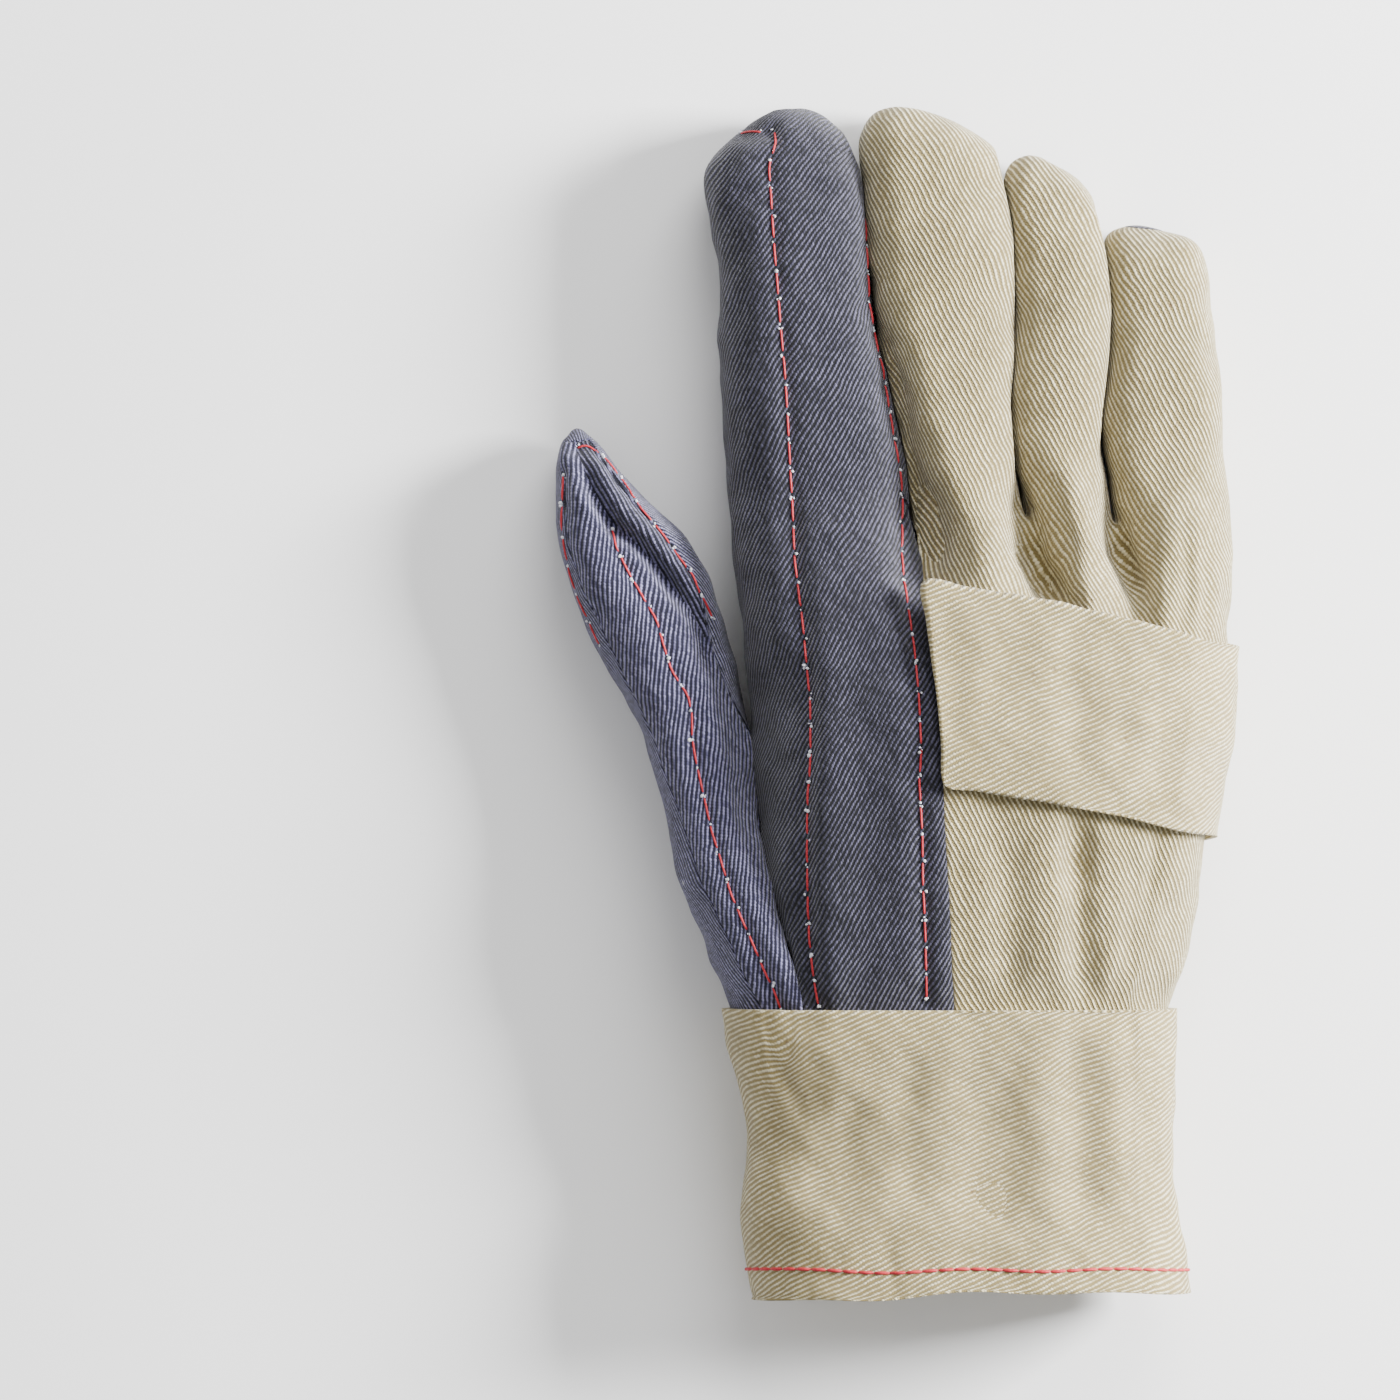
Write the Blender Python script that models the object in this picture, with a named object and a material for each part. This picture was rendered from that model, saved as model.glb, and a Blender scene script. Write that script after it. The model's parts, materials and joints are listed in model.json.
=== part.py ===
"""A heat resistant work glove for the right hand, lying palm down.

The glove is a shell of sewn panels: a denim palm that folds round the index finger, a canvas back with the
sides of three fingers, two thumb pieces, a knuckle strap and a band cuff. +Y runs to the fingertips, +X to
the little finger and +Z out of the back of the hand. The origin lies on the floor under the middle of the palm.
"""

import math

import bmesh
import bpy
import numpy as np
from mathutils import Vector

MM = 0.001

# Hand, from the wrist seam to the finger crotches
HAND_LENGTH = 108 * MM
HAND_WIDTH = 107 * MM
HAND_THICKNESS = 46 * MM
THUMB_CROTCH = 0.5625  # share of the hand's length
PALM_SHIFT = 0.03  # how far the finger seams lie nearer the thumb under the palm, share of the hand's width

# Fingers and thumb
INDEX_LENGTH = 95.0 * MM
MIDDLE_LENGTH = 95.6 * MM
RING_LENGTH = 84.8 * MM
LITTLE_LENGTH = 68.6 * MM
THUMB_LENGTH = 70.4 * MM
THUMB_REACH = 44.1 * MM
INDEX_THICKNESS = 29 * MM
MIDDLE_THICKNESS = 28 * MM
RING_THICKNESS = 26 * MM
LITTLE_THICKNESS = 24.5 * MM
THUMB_THICKNESS = 28 * MM
FINGER_GAP = 0.7 * MM

# Cuff and knuckle strap
CUFF_LENGTH = 63.5 * MM
CUFF_THICKNESS = 40 * MM
STRAP_WIDTH = 45.5 * MM
STRAP_TAPER = 0.07  # how much narrower it is at the little finger
STRAP_MIDDLE = 0.677  # share of the hand's length, at the index seam
STRAP_SLOPE = 0.135  # how much lower it lies at the little finger, share of the hand's length
STRAP_LIFT = 0.6 * MM
STRAP_STAND_OFF = 1.6 * MM

# Cloth
DENIM_WALL = 2.6 * MM
CANVAS_WALL = 2.0 * MM
CUFF_WALL = 1.8 * MM
STRAP_WALL = 1.8 * MM
SEAM_GAP = 0.3 * MM
LAP_CLEARANCE = 0.3 * MM

# Mesh density: edges across each finger's back, across its side, and rows along each length
INDEX_EDGES = 5
FINGER_EDGES = 4
SIDE_EDGES = 3
THUMB_EDGES = 6
LOWER_ROWS = 8
UPPER_ROWS = 6
FINGER_ROWS = 10
CUFF_ROWS = 7
LAP_ROWS = 1  # of the cuff's rows, under which the hand's panels reach
STRAP_ROWS = 7

# Cross-sections are superellipses. A corner is where the back or the palm turns into a side.
HAND_POWER = 2.6
FINGER_POWER = 2.6
HAND_CORNER = math.radians(35)
FINGER_CORNER = math.radians(42)

# Hand sections. along is a share of the hand's length from the wrist, the edges are shares of its width from
# the centre line, and middle and back are heights as shares of its thickness.
HAND_COLUMNS = ("along", "thumb", "crease", "index", "middle", "ring", "little", "mid", "back")
HAND_SECTIONS = (
    (0.0000, -0.472, -0.307, 0.008, 0.166, 0.320, 0.480, 0.42, 0.88),
    (0.1250, -0.512, -0.336, 0.002, 0.172, 0.332, 0.504, 0.42, 0.92),
    (0.2500, -0.560, -0.374, -0.004, 0.179, 0.345, 0.527, 0.43, 0.96),
    (0.4060, -0.593, -0.402, -0.014, 0.185, 0.357, 0.550, 0.43, 1.00),
    (0.5625, -0.637, -0.412, -0.021, 0.193, 0.370, 0.571, 0.43, 1.00),
    (0.7700, -0.660, -0.437, -0.044, 0.210, 0.385, 0.592, 0.41, 0.92),
    (1.0000, -0.660, -0.458, -0.068, 0.176, 0.358, 0.598, 0.38, 0.76),
)

# Lines between the fingers, as shares of the middle finger's length and of the hand's width
LANE_COLUMNS = ("along", "outer", "index", "middle", "ring", "little")
LANE_LINES = (
    (0.000, -0.458, -0.068, 0.176, 0.358, 0.598),
    (0.212, -0.471, -0.096, 0.138, 0.325, 0.580),
    (0.424, -0.478, -0.139, 0.142, 0.343, 0.568),
    (0.635, -0.486, -0.160, 0.141, 0.339, 0.545),
    (0.800, -0.505, -0.175, 0.126, 0.318, 0.510),
    (1.000, -0.505, -0.193, 0.105, 0.318, 0.500),
)

# How each fingertip rounds off. The places are shares of the finger's length at its two edges, and the
# insets are shares of its width.
TIP_COLUMNS = ("left_along", "right_along", "left_inset", "right_inset")
TIPS = {
    "index": (
        (0.780, 0.780, 0.000, 0.000),
        (0.865, 0.895, 0.000, 0.050),
        (0.945, 0.962, 0.220, 0.180),
        (0.985, 0.988, 0.400, 0.330),
    ),
    "middle": (
        (0.750, 0.730, 0.000, 0.000),
        (0.870, 0.805, 0.000, 0.020),
        (0.938, 0.872, 0.030, 0.050),
        (0.980, 0.930, 0.120, 0.170),
        (0.994, 0.966, 0.240, 0.350),
    ),
    "ring": (
        (0.720, 0.700, 0.000, 0.000),
        (0.840, 0.800, 0.000, 0.020),
        (0.930, 0.885, 0.020, 0.060),
        (0.980, 0.945, 0.120, 0.270),
        (0.994, 0.972, 0.240, 0.460),
    ),
    "little": (
        (0.700, 0.690, 0.000, 0.000),
        (0.860, 0.830, 0.000, 0.000),
        (0.945, 0.915, 0.030, 0.020),
        (0.982, 0.955, 0.110, 0.160),
        (0.994, 0.974, 0.220, 0.380),
    ),
}

# A finger's top and bottom heights along its length, as shares of its thickness
PROFILE_COLUMNS = ("along", "top", "bottom")
FINGER_PROFILE = (
    (0.00, 1.00, -0.05),
    (0.35, 1.02, -0.05),
    (0.70, 0.97, -0.05),
    (0.86, 0.88, -0.03),
    (0.94, 0.76, 0.05),
    (0.98, 0.62, 0.16),
    (1.00, 0.52, 0.24),
)
CAP_BULGE = 0.03  # share of the finger's thickness that the end stands out past its last ring
THUMB_CAP_BULGE = 0.11

# Thumb outline. across is a share of its reach from the crotch, and along a share of its length.
THUMB_COLUMNS = ("share", "left_across", "left_along", "right_across", "right_along", "top", "bottom")
THUMB_SECTIONS = (
    (0.00, 0.546, 0.000, 0.000, 0.000, 1.00, -0.05),
    (0.17, 0.655, 0.135, 0.085, 0.235, 0.99, -0.05),
    (0.36, 0.795, 0.290, 0.165, 0.440, 0.96, -0.05),
    (0.55, 0.925, 0.475, 0.325, 0.615, 0.92, -0.05),
    (0.72, 0.995, 0.665, 0.530, 0.765, 0.88, -0.05),
    (0.86, 1.000, 0.825, 0.680, 0.878, 0.80, -0.02),
    (0.95, 1.000, 0.905, 0.770, 0.932, 0.70, 0.06),
    (1.00, 0.985, 0.952, 0.812, 0.960, 0.60, 0.13),
)

# Cuff sections from its top edge to its hem. The edges are shares of the hand's width, the heights of its own thickness.
CUFF_COLUMNS = ("along", "left", "right", "mid", "top")
CUFF_SECTIONS = (
    (0.00, -0.472, 0.477, 0.46, 1.00),
    (0.14, -0.460, 0.480, 0.46, 0.99),
    (0.28, -0.437, 0.477, 0.46, 0.95),
    (0.50, -0.433, 0.471, 0.46, 0.93),
    (0.78, -0.426, 0.489, 0.46, 0.96),
    (1.00, -0.416, 0.512, 0.46, 1.00),
)
HEM_WAVE = 0.014  # share of the cuff's length

# Valleys. depth and reach are shares of the hand's thickness and length.
BACK_VALLEY_HEIGHT = 0.42
PALM_VALLEY_HEIGHT = 0.24
BACK_VALLEY_REACH = 0.13
PALM_VALLEY_REACH = 0.06
VALLEY_WIDTH = 0.052  # share of the hand's width
CREASE_HEIGHT = 0.40
PALM_CREASE_HEIGHT = 0.16
WRIST_CREASE = 0.05
SETTLE_HAND = 0.20
SETTLE_FINGER = 0.22
SETTLE_CUFF = 0.06

# Folds pressed into the cloth. Their ends are shares of the hand's width and length from the origin, half_width
# is a share of the width, and depth a share of the thickness. side is 1 on the back and -1 under the palm.
FOLD_COLUMNS = ("side", "x0", "y0", "x1", "y1", "half_width", "depth")
FOLDS = (
    (1, 0.172, 0.455, 0.262, 0.325, 0.026, 0.085),
    (1, 0.345, 0.560, 0.378, 0.390, 0.024, 0.070),
    (1, 0.000, 0.540, 0.030, 0.430, 0.045, 0.060),
    (1, 0.485, 0.450, 0.498, 0.260, 0.016, 0.035),
    (1, 0.270, -0.100, 0.280, -0.480, 0.022, 0.045),
    (1, 0.440, -0.150, 0.430, -0.490, 0.022, 0.045),
    (1, 0.110, -0.100, 0.125, -0.480, 0.030, 0.025),
    (1, -0.775, 0.655, -0.700, 0.505, 0.038, 0.030),
    (1, -0.700, 0.505, -0.600, 0.410, 0.038, 0.050),
    (1, -0.600, 0.410, -0.510, 0.275, 0.038, 0.055),
    (1, -0.510, 0.275, -0.435, 0.110, 0.036, 0.050),
    (-1, 0.130, 0.420, 0.080, 0.050, 0.030, 0.050),
    (-1, -0.120, 0.420, -0.080, -0.080, 0.030, 0.060),
    (-1, 0.330, 0.420, 0.300, 0.150, 0.024, 0.035),
)
SMOOTH_STEPS = (0.5, -0.52, 0.5, -0.52)  # each shrinking step is followed by one that grows it back
SMOOTH_ROWS = 4  # rows of each finger that are smoothed together with the hand

MOST_SHELL_FACTOR = 1.35  # most that a wall's offset grows at a sharp bend
CORNER_PULL = 4.5  # how many times further a rim draws back at a corner of the seams
SHARP_TURN = -0.5  # cosine of the angle between the two sides of a seam that counts as a corner
LEAST_MITRE = 0.35  # keeps a rim's corner from moving far where it turns back on itself

INDEX_SEAM = INDEX_EDGES
MIDDLE_SEAM = INDEX_SEAM + FINGER_EDGES
RING_SEAM = MIDDLE_SEAM + FINGER_EDGES
BACK_EDGES = RING_SEAM + FINGER_EDGES
FINGER_SPANS = {
    "index": (0, INDEX_SEAM, INDEX_LENGTH, INDEX_THICKNESS),
    "middle": (INDEX_SEAM, MIDDLE_SEAM, MIDDLE_LENGTH, MIDDLE_THICKNESS),
    "ring": (MIDDLE_SEAM, RING_SEAM, RING_LENGTH, RING_THICKNESS),
    "little": (RING_SEAM, BACK_EDGES, LITTLE_LENGTH, LITTLE_THICKNESS),
}
LANE_NAMES = LANE_COLUMNS[1:]
LANE_INDEX = {0: 0, INDEX_SEAM: 1, MIDDLE_SEAM: 2, RING_SEAM: 3, BACK_EDGES: 4}
CROTCH_Y = HAND_LENGTH / 2
WRIST_Y = -HAND_LENGTH / 2
LAP_INSET = CUFF_WALL + LAP_CLEARANCE

MATERIALS = {
    "denim": (0.095, 0.112, 0.175),
    "canvas": (0.680, 0.630, 0.510),
}


def section(rows, columns, along, name):
    """A column of a table at any place along it, on a smooth curve through its rows."""
    key = columns.index(name)
    places = [row[0] for row in rows]
    values = [row[key] for row in rows]
    slopes = np.gradient(values, places)
    along = min(max(along, places[0]), places[-1])
    i = min(int(np.searchsorted(places, along, side="right")) - 1, len(rows) - 2)
    span = places[i + 1] - places[i]
    t = (along - places[i]) / span
    start, end = values[i], values[i + 1]
    bend = (slopes[i] * (1 - t) ** 2 * t - slopes[i + 1] * t**2 * (1 - t)) * span
    return start + (end - start) * t * t * (3 - 2 * t) + bend


def hand(along, name):
    return section(HAND_SECTIONS, HAND_COLUMNS, along, name)


def cuff(along, name):
    return section(CUFF_SECTIONS, CUFF_COLUMNS, along, name)


def thumb(share, name):
    return section(THUMB_SECTIONS, THUMB_COLUMNS, share, name)


def ease(t):
    t = min(max(t, 0.0), 1.0)
    return t * t * (3 - 2 * t)


def settle(distance, reach):
    """1 at a join, falling smoothly to 0 at its reach."""
    return max(0.0, 1 - distance / reach) ** 2


def signed_power(value, power):
    return math.copysign(abs(value) ** (2 / power), value)


def arch(t, power):
    """Height of a superellipse over t from -1 to 1."""
    return max(0.0, 1 - min(abs(t), 1.0) ** power) ** (1 / power)


def ring_point(left, right, bottom, mid, top, angle, power):
    """A point of a ring in the upright plane through two plan points. The angle is 0 at the right and 90 on top."""
    across = 0.5 + 0.5 * signed_power(math.cos(angle), power)
    rise = signed_power(math.sin(angle), power)
    height = mid + rise * ((top - mid) if rise > 0 else (mid - bottom))
    plan = left.lerp(right, across)
    return Vector((plan.x, plan.y, height))


def lane_angles(corner, edges, under):
    """Angles of the columns from left to right across a back or a palm."""
    span = math.pi - 2 * corner
    if under:
        return [math.pi + corner + span * i / edges for i in range(edges + 1)]
    return [math.pi - corner - span * i / edges for i in range(edges + 1)]


def side_angles(corner, right):
    """Angles down a side, from the back corner to the palm corner."""
    steps = [2 * corner * q / SIDE_EDGES for q in range(SIDE_EDGES + 1)]
    return [corner - step if right else math.pi - corner + step for step in steps]


def spread(edges_at, count_at):
    """Column positions that keep the named seams and lie evenly between them."""
    found = []
    for (start, end), count in zip(zip(edges_at, edges_at[1:]), count_at):
        found += [start + (end - start) * i / count for i in range(count)]
    return found + [edges_at[-1]]


LANE_COUNTS = (INDEX_EDGES, FINGER_EDGES, FINGER_EDGES, FINGER_EDGES)


def hand_height(x, left, right, middle, extent, under):
    t = (x - (left + right) / 2) / ((right - left) / 2)
    rise = arch(t, HAND_POWER) * extent
    return middle - rise if under else middle + rise


def hand_box(along):
    """Left edge, right edge, middle height and the extents above and below it, of the hand without the thumb."""
    mid = hand(along, "mid") * HAND_THICKNESS
    up = hand(along, "back") * HAND_THICKNESS - mid
    down = mid * 1.06
    return hand(along, "crease") * HAND_WIDTH, hand(along, "little") * HAND_WIDTH, mid, up, down


def lane_edges(along, left, right):
    seams = [hand(along, name) * HAND_WIDTH for name in ("index", "middle", "ring")]
    return [left, *seams, right]


def upper_hand(along):
    """The hand above the thumb as a dict of columns: b back, p palm, l and r sides."""
    left, right, mid, up, down = hand_box(along)
    y = WRIST_Y + along * HAND_LENGTH
    centre, half = (left + right) / 2, (right - left) / 2
    reach = half * signed_power(math.cos(HAND_CORNER), HAND_POWER)
    found = {}
    backs = spread(lane_edges(along, centre - reach, centre + reach), LANE_COUNTS)
    for i, x in enumerate(backs):
        shift = PALM_SHIFT * HAND_WIDTH * math.sin(math.pi * i / BACK_EDGES)
        found["b", i] = Vector((x, y, hand_height(x, left, right, mid, up, False)))
        found["p", i] = Vector((x - shift, y, hand_height(x - shift, left, right, mid, down, True)))
    ends = Vector((left, y)), Vector((right, y))
    for q in range(1, SIDE_EDGES):
        for key, is_right in (("r", True), ("l", False)):
            angle = side_angles(HAND_CORNER, is_right)[q]
            found[key, q] = ring_point(*ends, mid - down, mid, mid + up, angle, HAND_POWER)
    return found


def wrist_ring(y, left, right, bottom, mid, top, crease, seams):
    """One ring round hand and thumb together, as at the wrist and in the cuff."""
    centre, half = (left + right) / 2, (right - left) / 2
    reach = half * signed_power(math.cos(HAND_CORNER), HAND_POWER)
    found = {}
    backs = spread([crease, *seams, centre + reach], LANE_COUNTS)
    thumbs = spread([centre - reach, crease], (THUMB_EDGES,))
    for kind, columns in (("", backs), ("t", thumbs)):
        for i, x in enumerate(columns):
            high = hand_height(x, left, right, mid, top - mid, False)
            low = hand_height(x, left, right, mid, mid - bottom, True)
            found[kind + "b", i] = Vector((x, y, high))
            found[kind + "p", i] = Vector((x, y, low))
    ends = Vector((left, y)), Vector((right, y))
    for q in range(1, SIDE_EDGES):
        for key, is_right in (("r", True), ("to", False)):
            angle = side_angles(HAND_CORNER, is_right)[q]
            found[key, q] = ring_point(*ends, bottom, mid, top, angle, HAND_POWER)
    return found


def hull_ring(along):
    """The wrist's own ring carried up the hand."""
    left = hand(along, "thumb") * HAND_WIDTH
    _, right, mid, up, down = hand_box(along)
    crease = hand(along, "crease") * HAND_WIDTH
    seams = [hand(along, name) * HAND_WIDTH for name in ("index", "middle", "ring")]
    y = WRIST_Y + along * HAND_LENGTH
    ring = wrist_ring(y, left, right, mid - down, mid, mid + up, crease, seams)
    for key in (("b", 0), ("tb", THUMB_EDGES)):
        ring[key].z -= WRIST_CREASE * HAND_THICKNESS
    inside = cuff_ring(0.0, LAP_INSET)
    share = settle(along, SETTLE_CUFF)
    for key, point in ring.items():
        held = Vector((inside[key].x, y, inside[key].z))
        ring[key] = point.lerp(held, share)
    return ring


def lobed_ring(along):
    """Hand and thumb as two lobes with a crease between them."""
    left, right, mid, up, down = hand_box(along)
    outer = hand(along, "thumb") * HAND_WIDTH
    y = WRIST_Y + along * HAND_LENGTH
    centre, half = (left + right) / 2, (right - left) / 2
    reach = half * signed_power(math.cos(HAND_CORNER), HAND_POWER)
    found = {}
    for i, x in enumerate(spread(lane_edges(along, left, centre + reach), LANE_COUNTS)):
        shift = PALM_SHIFT * HAND_WIDTH * math.sin(math.pi * i / BACK_EDGES)
        found["b", i] = Vector((x, y, hand_height(x, left, right, mid, up, False)))
        found["p", i] = Vector((x - shift, y, hand_height(x - shift, left, right, mid, down, True)))
    top = THUMB_THICKNESS * thumb(0, "top")
    bottom = THUMB_THICKNESS * thumb(0, "bottom")
    ends = Vector((outer, y)), Vector((left, y))
    for kind, under in (("tb", False), ("tp", True)):
        for i, angle in enumerate(lane_angles(FINGER_CORNER, THUMB_EDGES, under)):
            found[kind, i] = ring_point(*ends, bottom, (top + bottom) / 2, top, angle, FINGER_POWER)
    for q in range(1, SIDE_EDGES):
        angle = side_angles(FINGER_CORNER, False)[q]
        found["to", q] = ring_point(*ends, bottom, (top + bottom) / 2, top, angle, FINGER_POWER)
        angle = side_angles(HAND_CORNER, True)[q]
        hand_ends = Vector((left, y)), Vector((right, y))
        found["r", q] = ring_point(*hand_ends, mid - down, mid, mid + up, angle, HAND_POWER)
    found["b", 0] = Vector((left, y, CREASE_HEIGHT * HAND_THICKNESS))
    found["p", 0] = Vector((left, y, PALM_CREASE_HEIGHT * HAND_THICKNESS))
    found["tb", THUMB_EDGES] = found["b", 0].copy()
    found["tp", THUMB_EDGES] = found["p", 0].copy()
    return found


def lower_hand(along):
    """The hand with the base of the thumb, from one ring at the wrist to two lobes at the thumb crotch."""
    whole, lobed = hull_ring(along), lobed_ring(along)
    share = ease(along / THUMB_CROTCH)
    return {key: whole[key].lerp(lobed[key], share) for key in whole}


def valley(points, along):
    """Sinks the lines between the fingers into the back and the palm near the crotches."""
    away = (1 - along) * HAND_LENGTH
    for kind, height, reach in (
        ("b", BACK_VALLEY_HEIGHT, BACK_VALLEY_REACH),
        ("p", PALM_VALLEY_HEIGHT, PALM_VALLEY_REACH),
    ):
        fade = math.exp(-((away / (reach * HAND_LENGTH)) ** 2) / 2)
        for seam in (INDEX_SEAM, MIDDLE_SEAM, RING_SEAM):
            line = points[kind, seam].copy()
            drop = (height * HAND_THICKNESS - line.z) * fade
            for i in range(BACK_EDGES + 1):
                offset = (points[kind, i].x - line.x) / (VALLEY_WIDTH * HAND_WIDTH)
                points[kind, i].z += drop * math.exp(-(offset**2))


def lane_x(name, y):
    along = (y - CROTCH_Y) / MIDDLE_LENGTH
    return section(LANE_LINES, LANE_COLUMNS, along, name) * HAND_WIDTH


def finger_ring(name, row):
    """A finger's ring as a dict of columns, from its two edges and its profile."""
    first, last, length, thickness = FINGER_SPANS[name]
    tip = TIPS[name]
    start = tip[0]
    tip_rows = len(tip) - 1
    body_rows = FINGER_ROWS - tip_rows
    if row <= body_rows:
        share = row / body_rows
        left_along, right_along = start[0] * share, start[1] * share
        left_inset = right_inset = 0.0
    else:
        left_along, right_along, left_inset, right_inset = tip[row - body_rows]
    ends = []
    for lane, along, outward in ((first, left_along, 1), (last, right_along, -1)):
        y = CROTCH_Y + along * length
        gap = 0.0 if lane in (0, BACK_EDGES) else FINGER_GAP / 2
        ends.append(Vector((lane_x(LANE_NAMES[LANE_INDEX[lane]], y) + outward * gap, y)))
    left = ends[0].lerp(ends[1], left_inset)
    right = ends[1].lerp(ends[0], right_inset)
    left.y, right.y = ends[0].y, ends[1].y
    along = (left_along + right_along) / 2
    top = section(FINGER_PROFILE, PROFILE_COLUMNS, along, "top") * thickness
    bottom = section(FINGER_PROFILE, PROFILE_COLUMNS, along, "bottom") * thickness
    mid = (top + bottom) / 2
    found = {}
    edges = last - first
    for kind, under in (("b", False), ("p", True)):
        for i, angle in enumerate(lane_angles(FINGER_CORNER, edges, under)):
            found[kind, i] = ring_point(left, right, bottom, mid, top, angle, FINGER_POWER)
    for q in range(1, SIDE_EDGES):
        for key, is_right in (("r", True), ("l", False)):
            angle = side_angles(FINGER_CORNER, is_right)[q]
            found[key, q] = ring_point(left, right, bottom, mid, top, angle, FINGER_POWER)
    return found, along


def thumb_ring(row):
    share = row / FINGER_ROWS
    share = share + 0.35 * share * (1 - share)  # the rows crowd towards the tip
    crease = Vector((hand(THUMB_CROTCH, "crease") * HAND_WIDTH, WRIST_Y + THUMB_CROTCH * HAND_LENGTH))
    ends = []
    for side in ("left", "right"):
        across, along = thumb(share, side + "_across"), thumb(share, side + "_along")
        ends.append(crease + Vector((-across * THUMB_REACH, along * THUMB_LENGTH)))
    top = thumb(share, "top") * THUMB_THICKNESS
    bottom = thumb(share, "bottom") * THUMB_THICKNESS
    mid = (top + bottom) / 2
    found = {}
    for kind, under in (("b", False), ("p", True)):
        for i, angle in enumerate(lane_angles(FINGER_CORNER, THUMB_EDGES, under)):
            found[kind, i] = ring_point(*ends, bottom, mid, top, angle, FINGER_POWER)
    for q in range(1, SIDE_EDGES):
        for key, is_right in (("r", True), ("l", False)):
            angle = side_angles(FINGER_CORNER, is_right)[q]
            found[key, q] = ring_point(*ends, bottom, mid, top, angle, FINGER_POWER)
    return found, share


class Shell:
    """The glove's outer surface, as named points and as faces that each belong to a panel."""

    def __init__(self):
        self.points = {}
        self.faces = []
        self.slit = []

    def add(self, prefix, ring):
        for key, point in ring.items():
            self.points[(*prefix, *key)] = point

    def face(self, panel, *keys):
        if len(set(keys)) == len(keys):
            self.faces.append((panel, keys))

    def band(self, panel, low, high, columns):
        """Faces between two rings, each a function from a column to a point's name."""
        for a, b in zip(columns, columns[1:]):
            self.face(panel, low(a), low(b), high(b), high(a))


def settled(formula, base, start, weight):
    """A ring pulled towards the ring that it grows from."""
    return {key: formula[key] + (base[key] - start[key]) * weight for key in formula}


def side_columns(key, right_start="b", end=BACK_EDGES):
    """Columns down a side, from the back corner to the palm corner."""
    return [(right_start, end), *((key, q) for q in range(1, SIDE_EDGES)), ("p", end)]


def hand_rows(shell):
    rows = LAP_ROWS + LOWER_ROWS
    for lap in range(LAP_ROWS):
        shell.add(("h", lap), cuff_ring((LAP_ROWS - lap) / CUFF_ROWS, LAP_INSET))
    for row in range(LOWER_ROWS + 1):
        points = lower_hand(THUMB_CROTCH * row / LOWER_ROWS)
        valley(points, THUMB_CROTCH * row / LOWER_ROWS)
        shell.add(("h", LAP_ROWS + row), points)
    base = {key: shell.points[("h", rows, *key)] for key in upper_hand(THUMB_CROTCH) if key[0] != "l"}
    top, foot = base["b", 0], base["p", 0]
    for q in range(1, SIDE_EDGES):
        base["l", q] = top.lerp(foot, q / SIDE_EDGES)
        shell.points["h", rows, "l", q] = base["l", q]
    start = upper_hand(THUMB_CROTCH)
    for row in range(1, UPPER_ROWS + 1):
        along = THUMB_CROTCH + (1 - THUMB_CROTCH) * row / UPPER_ROWS
        points = settled(upper_hand(along), base, start, settle(along - THUMB_CROTCH, SETTLE_HAND))
        valley(points, along)
        shell.add(("h", rows + row), points)


def hand_faces(shell):
    rows = LAP_ROWS + LOWER_ROWS
    lanes = {"palm": [("b", i) for i in range(INDEX_SEAM + 1)], "back": [("b", i) for i in range(INDEX_SEAM, BACK_EDGES + 1)]}
    for row in range(rows + UPPER_ROWS):
        low, high = (lambda c, r=row: ("h", r, *c)), (lambda c, r=row: ("h", r + 1, *c))
        for panel, columns in lanes.items():
            shell.band(panel, low, high, columns)
        shell.band("palm", low, high, [("p", i) for i in range(BACK_EDGES + 1)])
        shell.band("back", low, high, side_columns("r"))
        if row < rows:
            shell.band("thumb_top", low, high, [*(("tb", i) for i in range(THUMB_EDGES)), ("b", 0)])
            shell.band("thumb_under", low, high, [*(("tp", i) for i in range(THUMB_EDGES)), ("p", 0)])
            outer = [("tb", 0), *(("to", q) for q in range(1, SIDE_EDGES)), ("tp", 0)]
            shell.band("thumb_under", low, high, outer)
        else:
            shell.band("palm", low, high, side_columns("l", "b", 0))


def webs(shell, crotch_row):
    """The points between neighbouring fingers, from the valley on the back to the one under the palm."""
    for seam in (INDEX_SEAM, MIDDLE_SEAM, RING_SEAM):
        top, foot = shell.points["h", crotch_row, "b", seam], shell.points["h", crotch_row, "p", seam]
        for q in range(1, SIDE_EDGES):
            shell.points["w", seam, q] = top.lerp(foot, q / SIDE_EDGES)


def finger(shell, name, crotch_row):
    first, last, _, thickness = FINGER_SPANS[name]
    edges = last - first

    def base_key(kind, i):
        if kind in ("b", "p"):
            return ("h", crotch_row, kind, first + i)
        lane = last if kind == "r" else first
        return ("h", crotch_row, kind, i) if lane in (0, BACK_EDGES) else ("w", lane, i)

    start, _ = finger_ring(name, 0)
    base = {key: shell.points[base_key(*key)] for key in start}
    for row in range(1, FINGER_ROWS + 1):
        formula, along = finger_ring(name, row)
        shell.add((name, row), settled(formula, base, start, settle(along, SETTLE_FINGER)))

    def key_at(row):
        return lambda c: base_key(*c) if row == 0 else (name, row, *c)

    backs = [("b", i) for i in range(edges + 1)]
    palms = [("p", i) for i in range(edges + 1)]
    upper = "palm" if name == "index" else "back"
    for row in range(FINGER_ROWS):
        low, high = key_at(row), key_at(row + 1)
        shell.band(upper, low, high, backs)
        shell.band("palm", low, high, palms)
        shell.band(upper, low, high, side_columns("r", "b", edges))
        shell.band(upper, low, high, side_columns("l", "b", 0))
        if name == "index":
            shell.slit.append((low(("b", edges)), high(("b", edges))))
    cap(shell, (name, FINGER_ROWS), edges, "palm" if name in ("index", "little") else upper, CAP_BULGE * thickness)
    if name == "index":
        for a, b in zip(backs, backs[1:]):
            shell.slit.append(((name, FINGER_ROWS, *a), (name, FINGER_ROWS, *b)))


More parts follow.
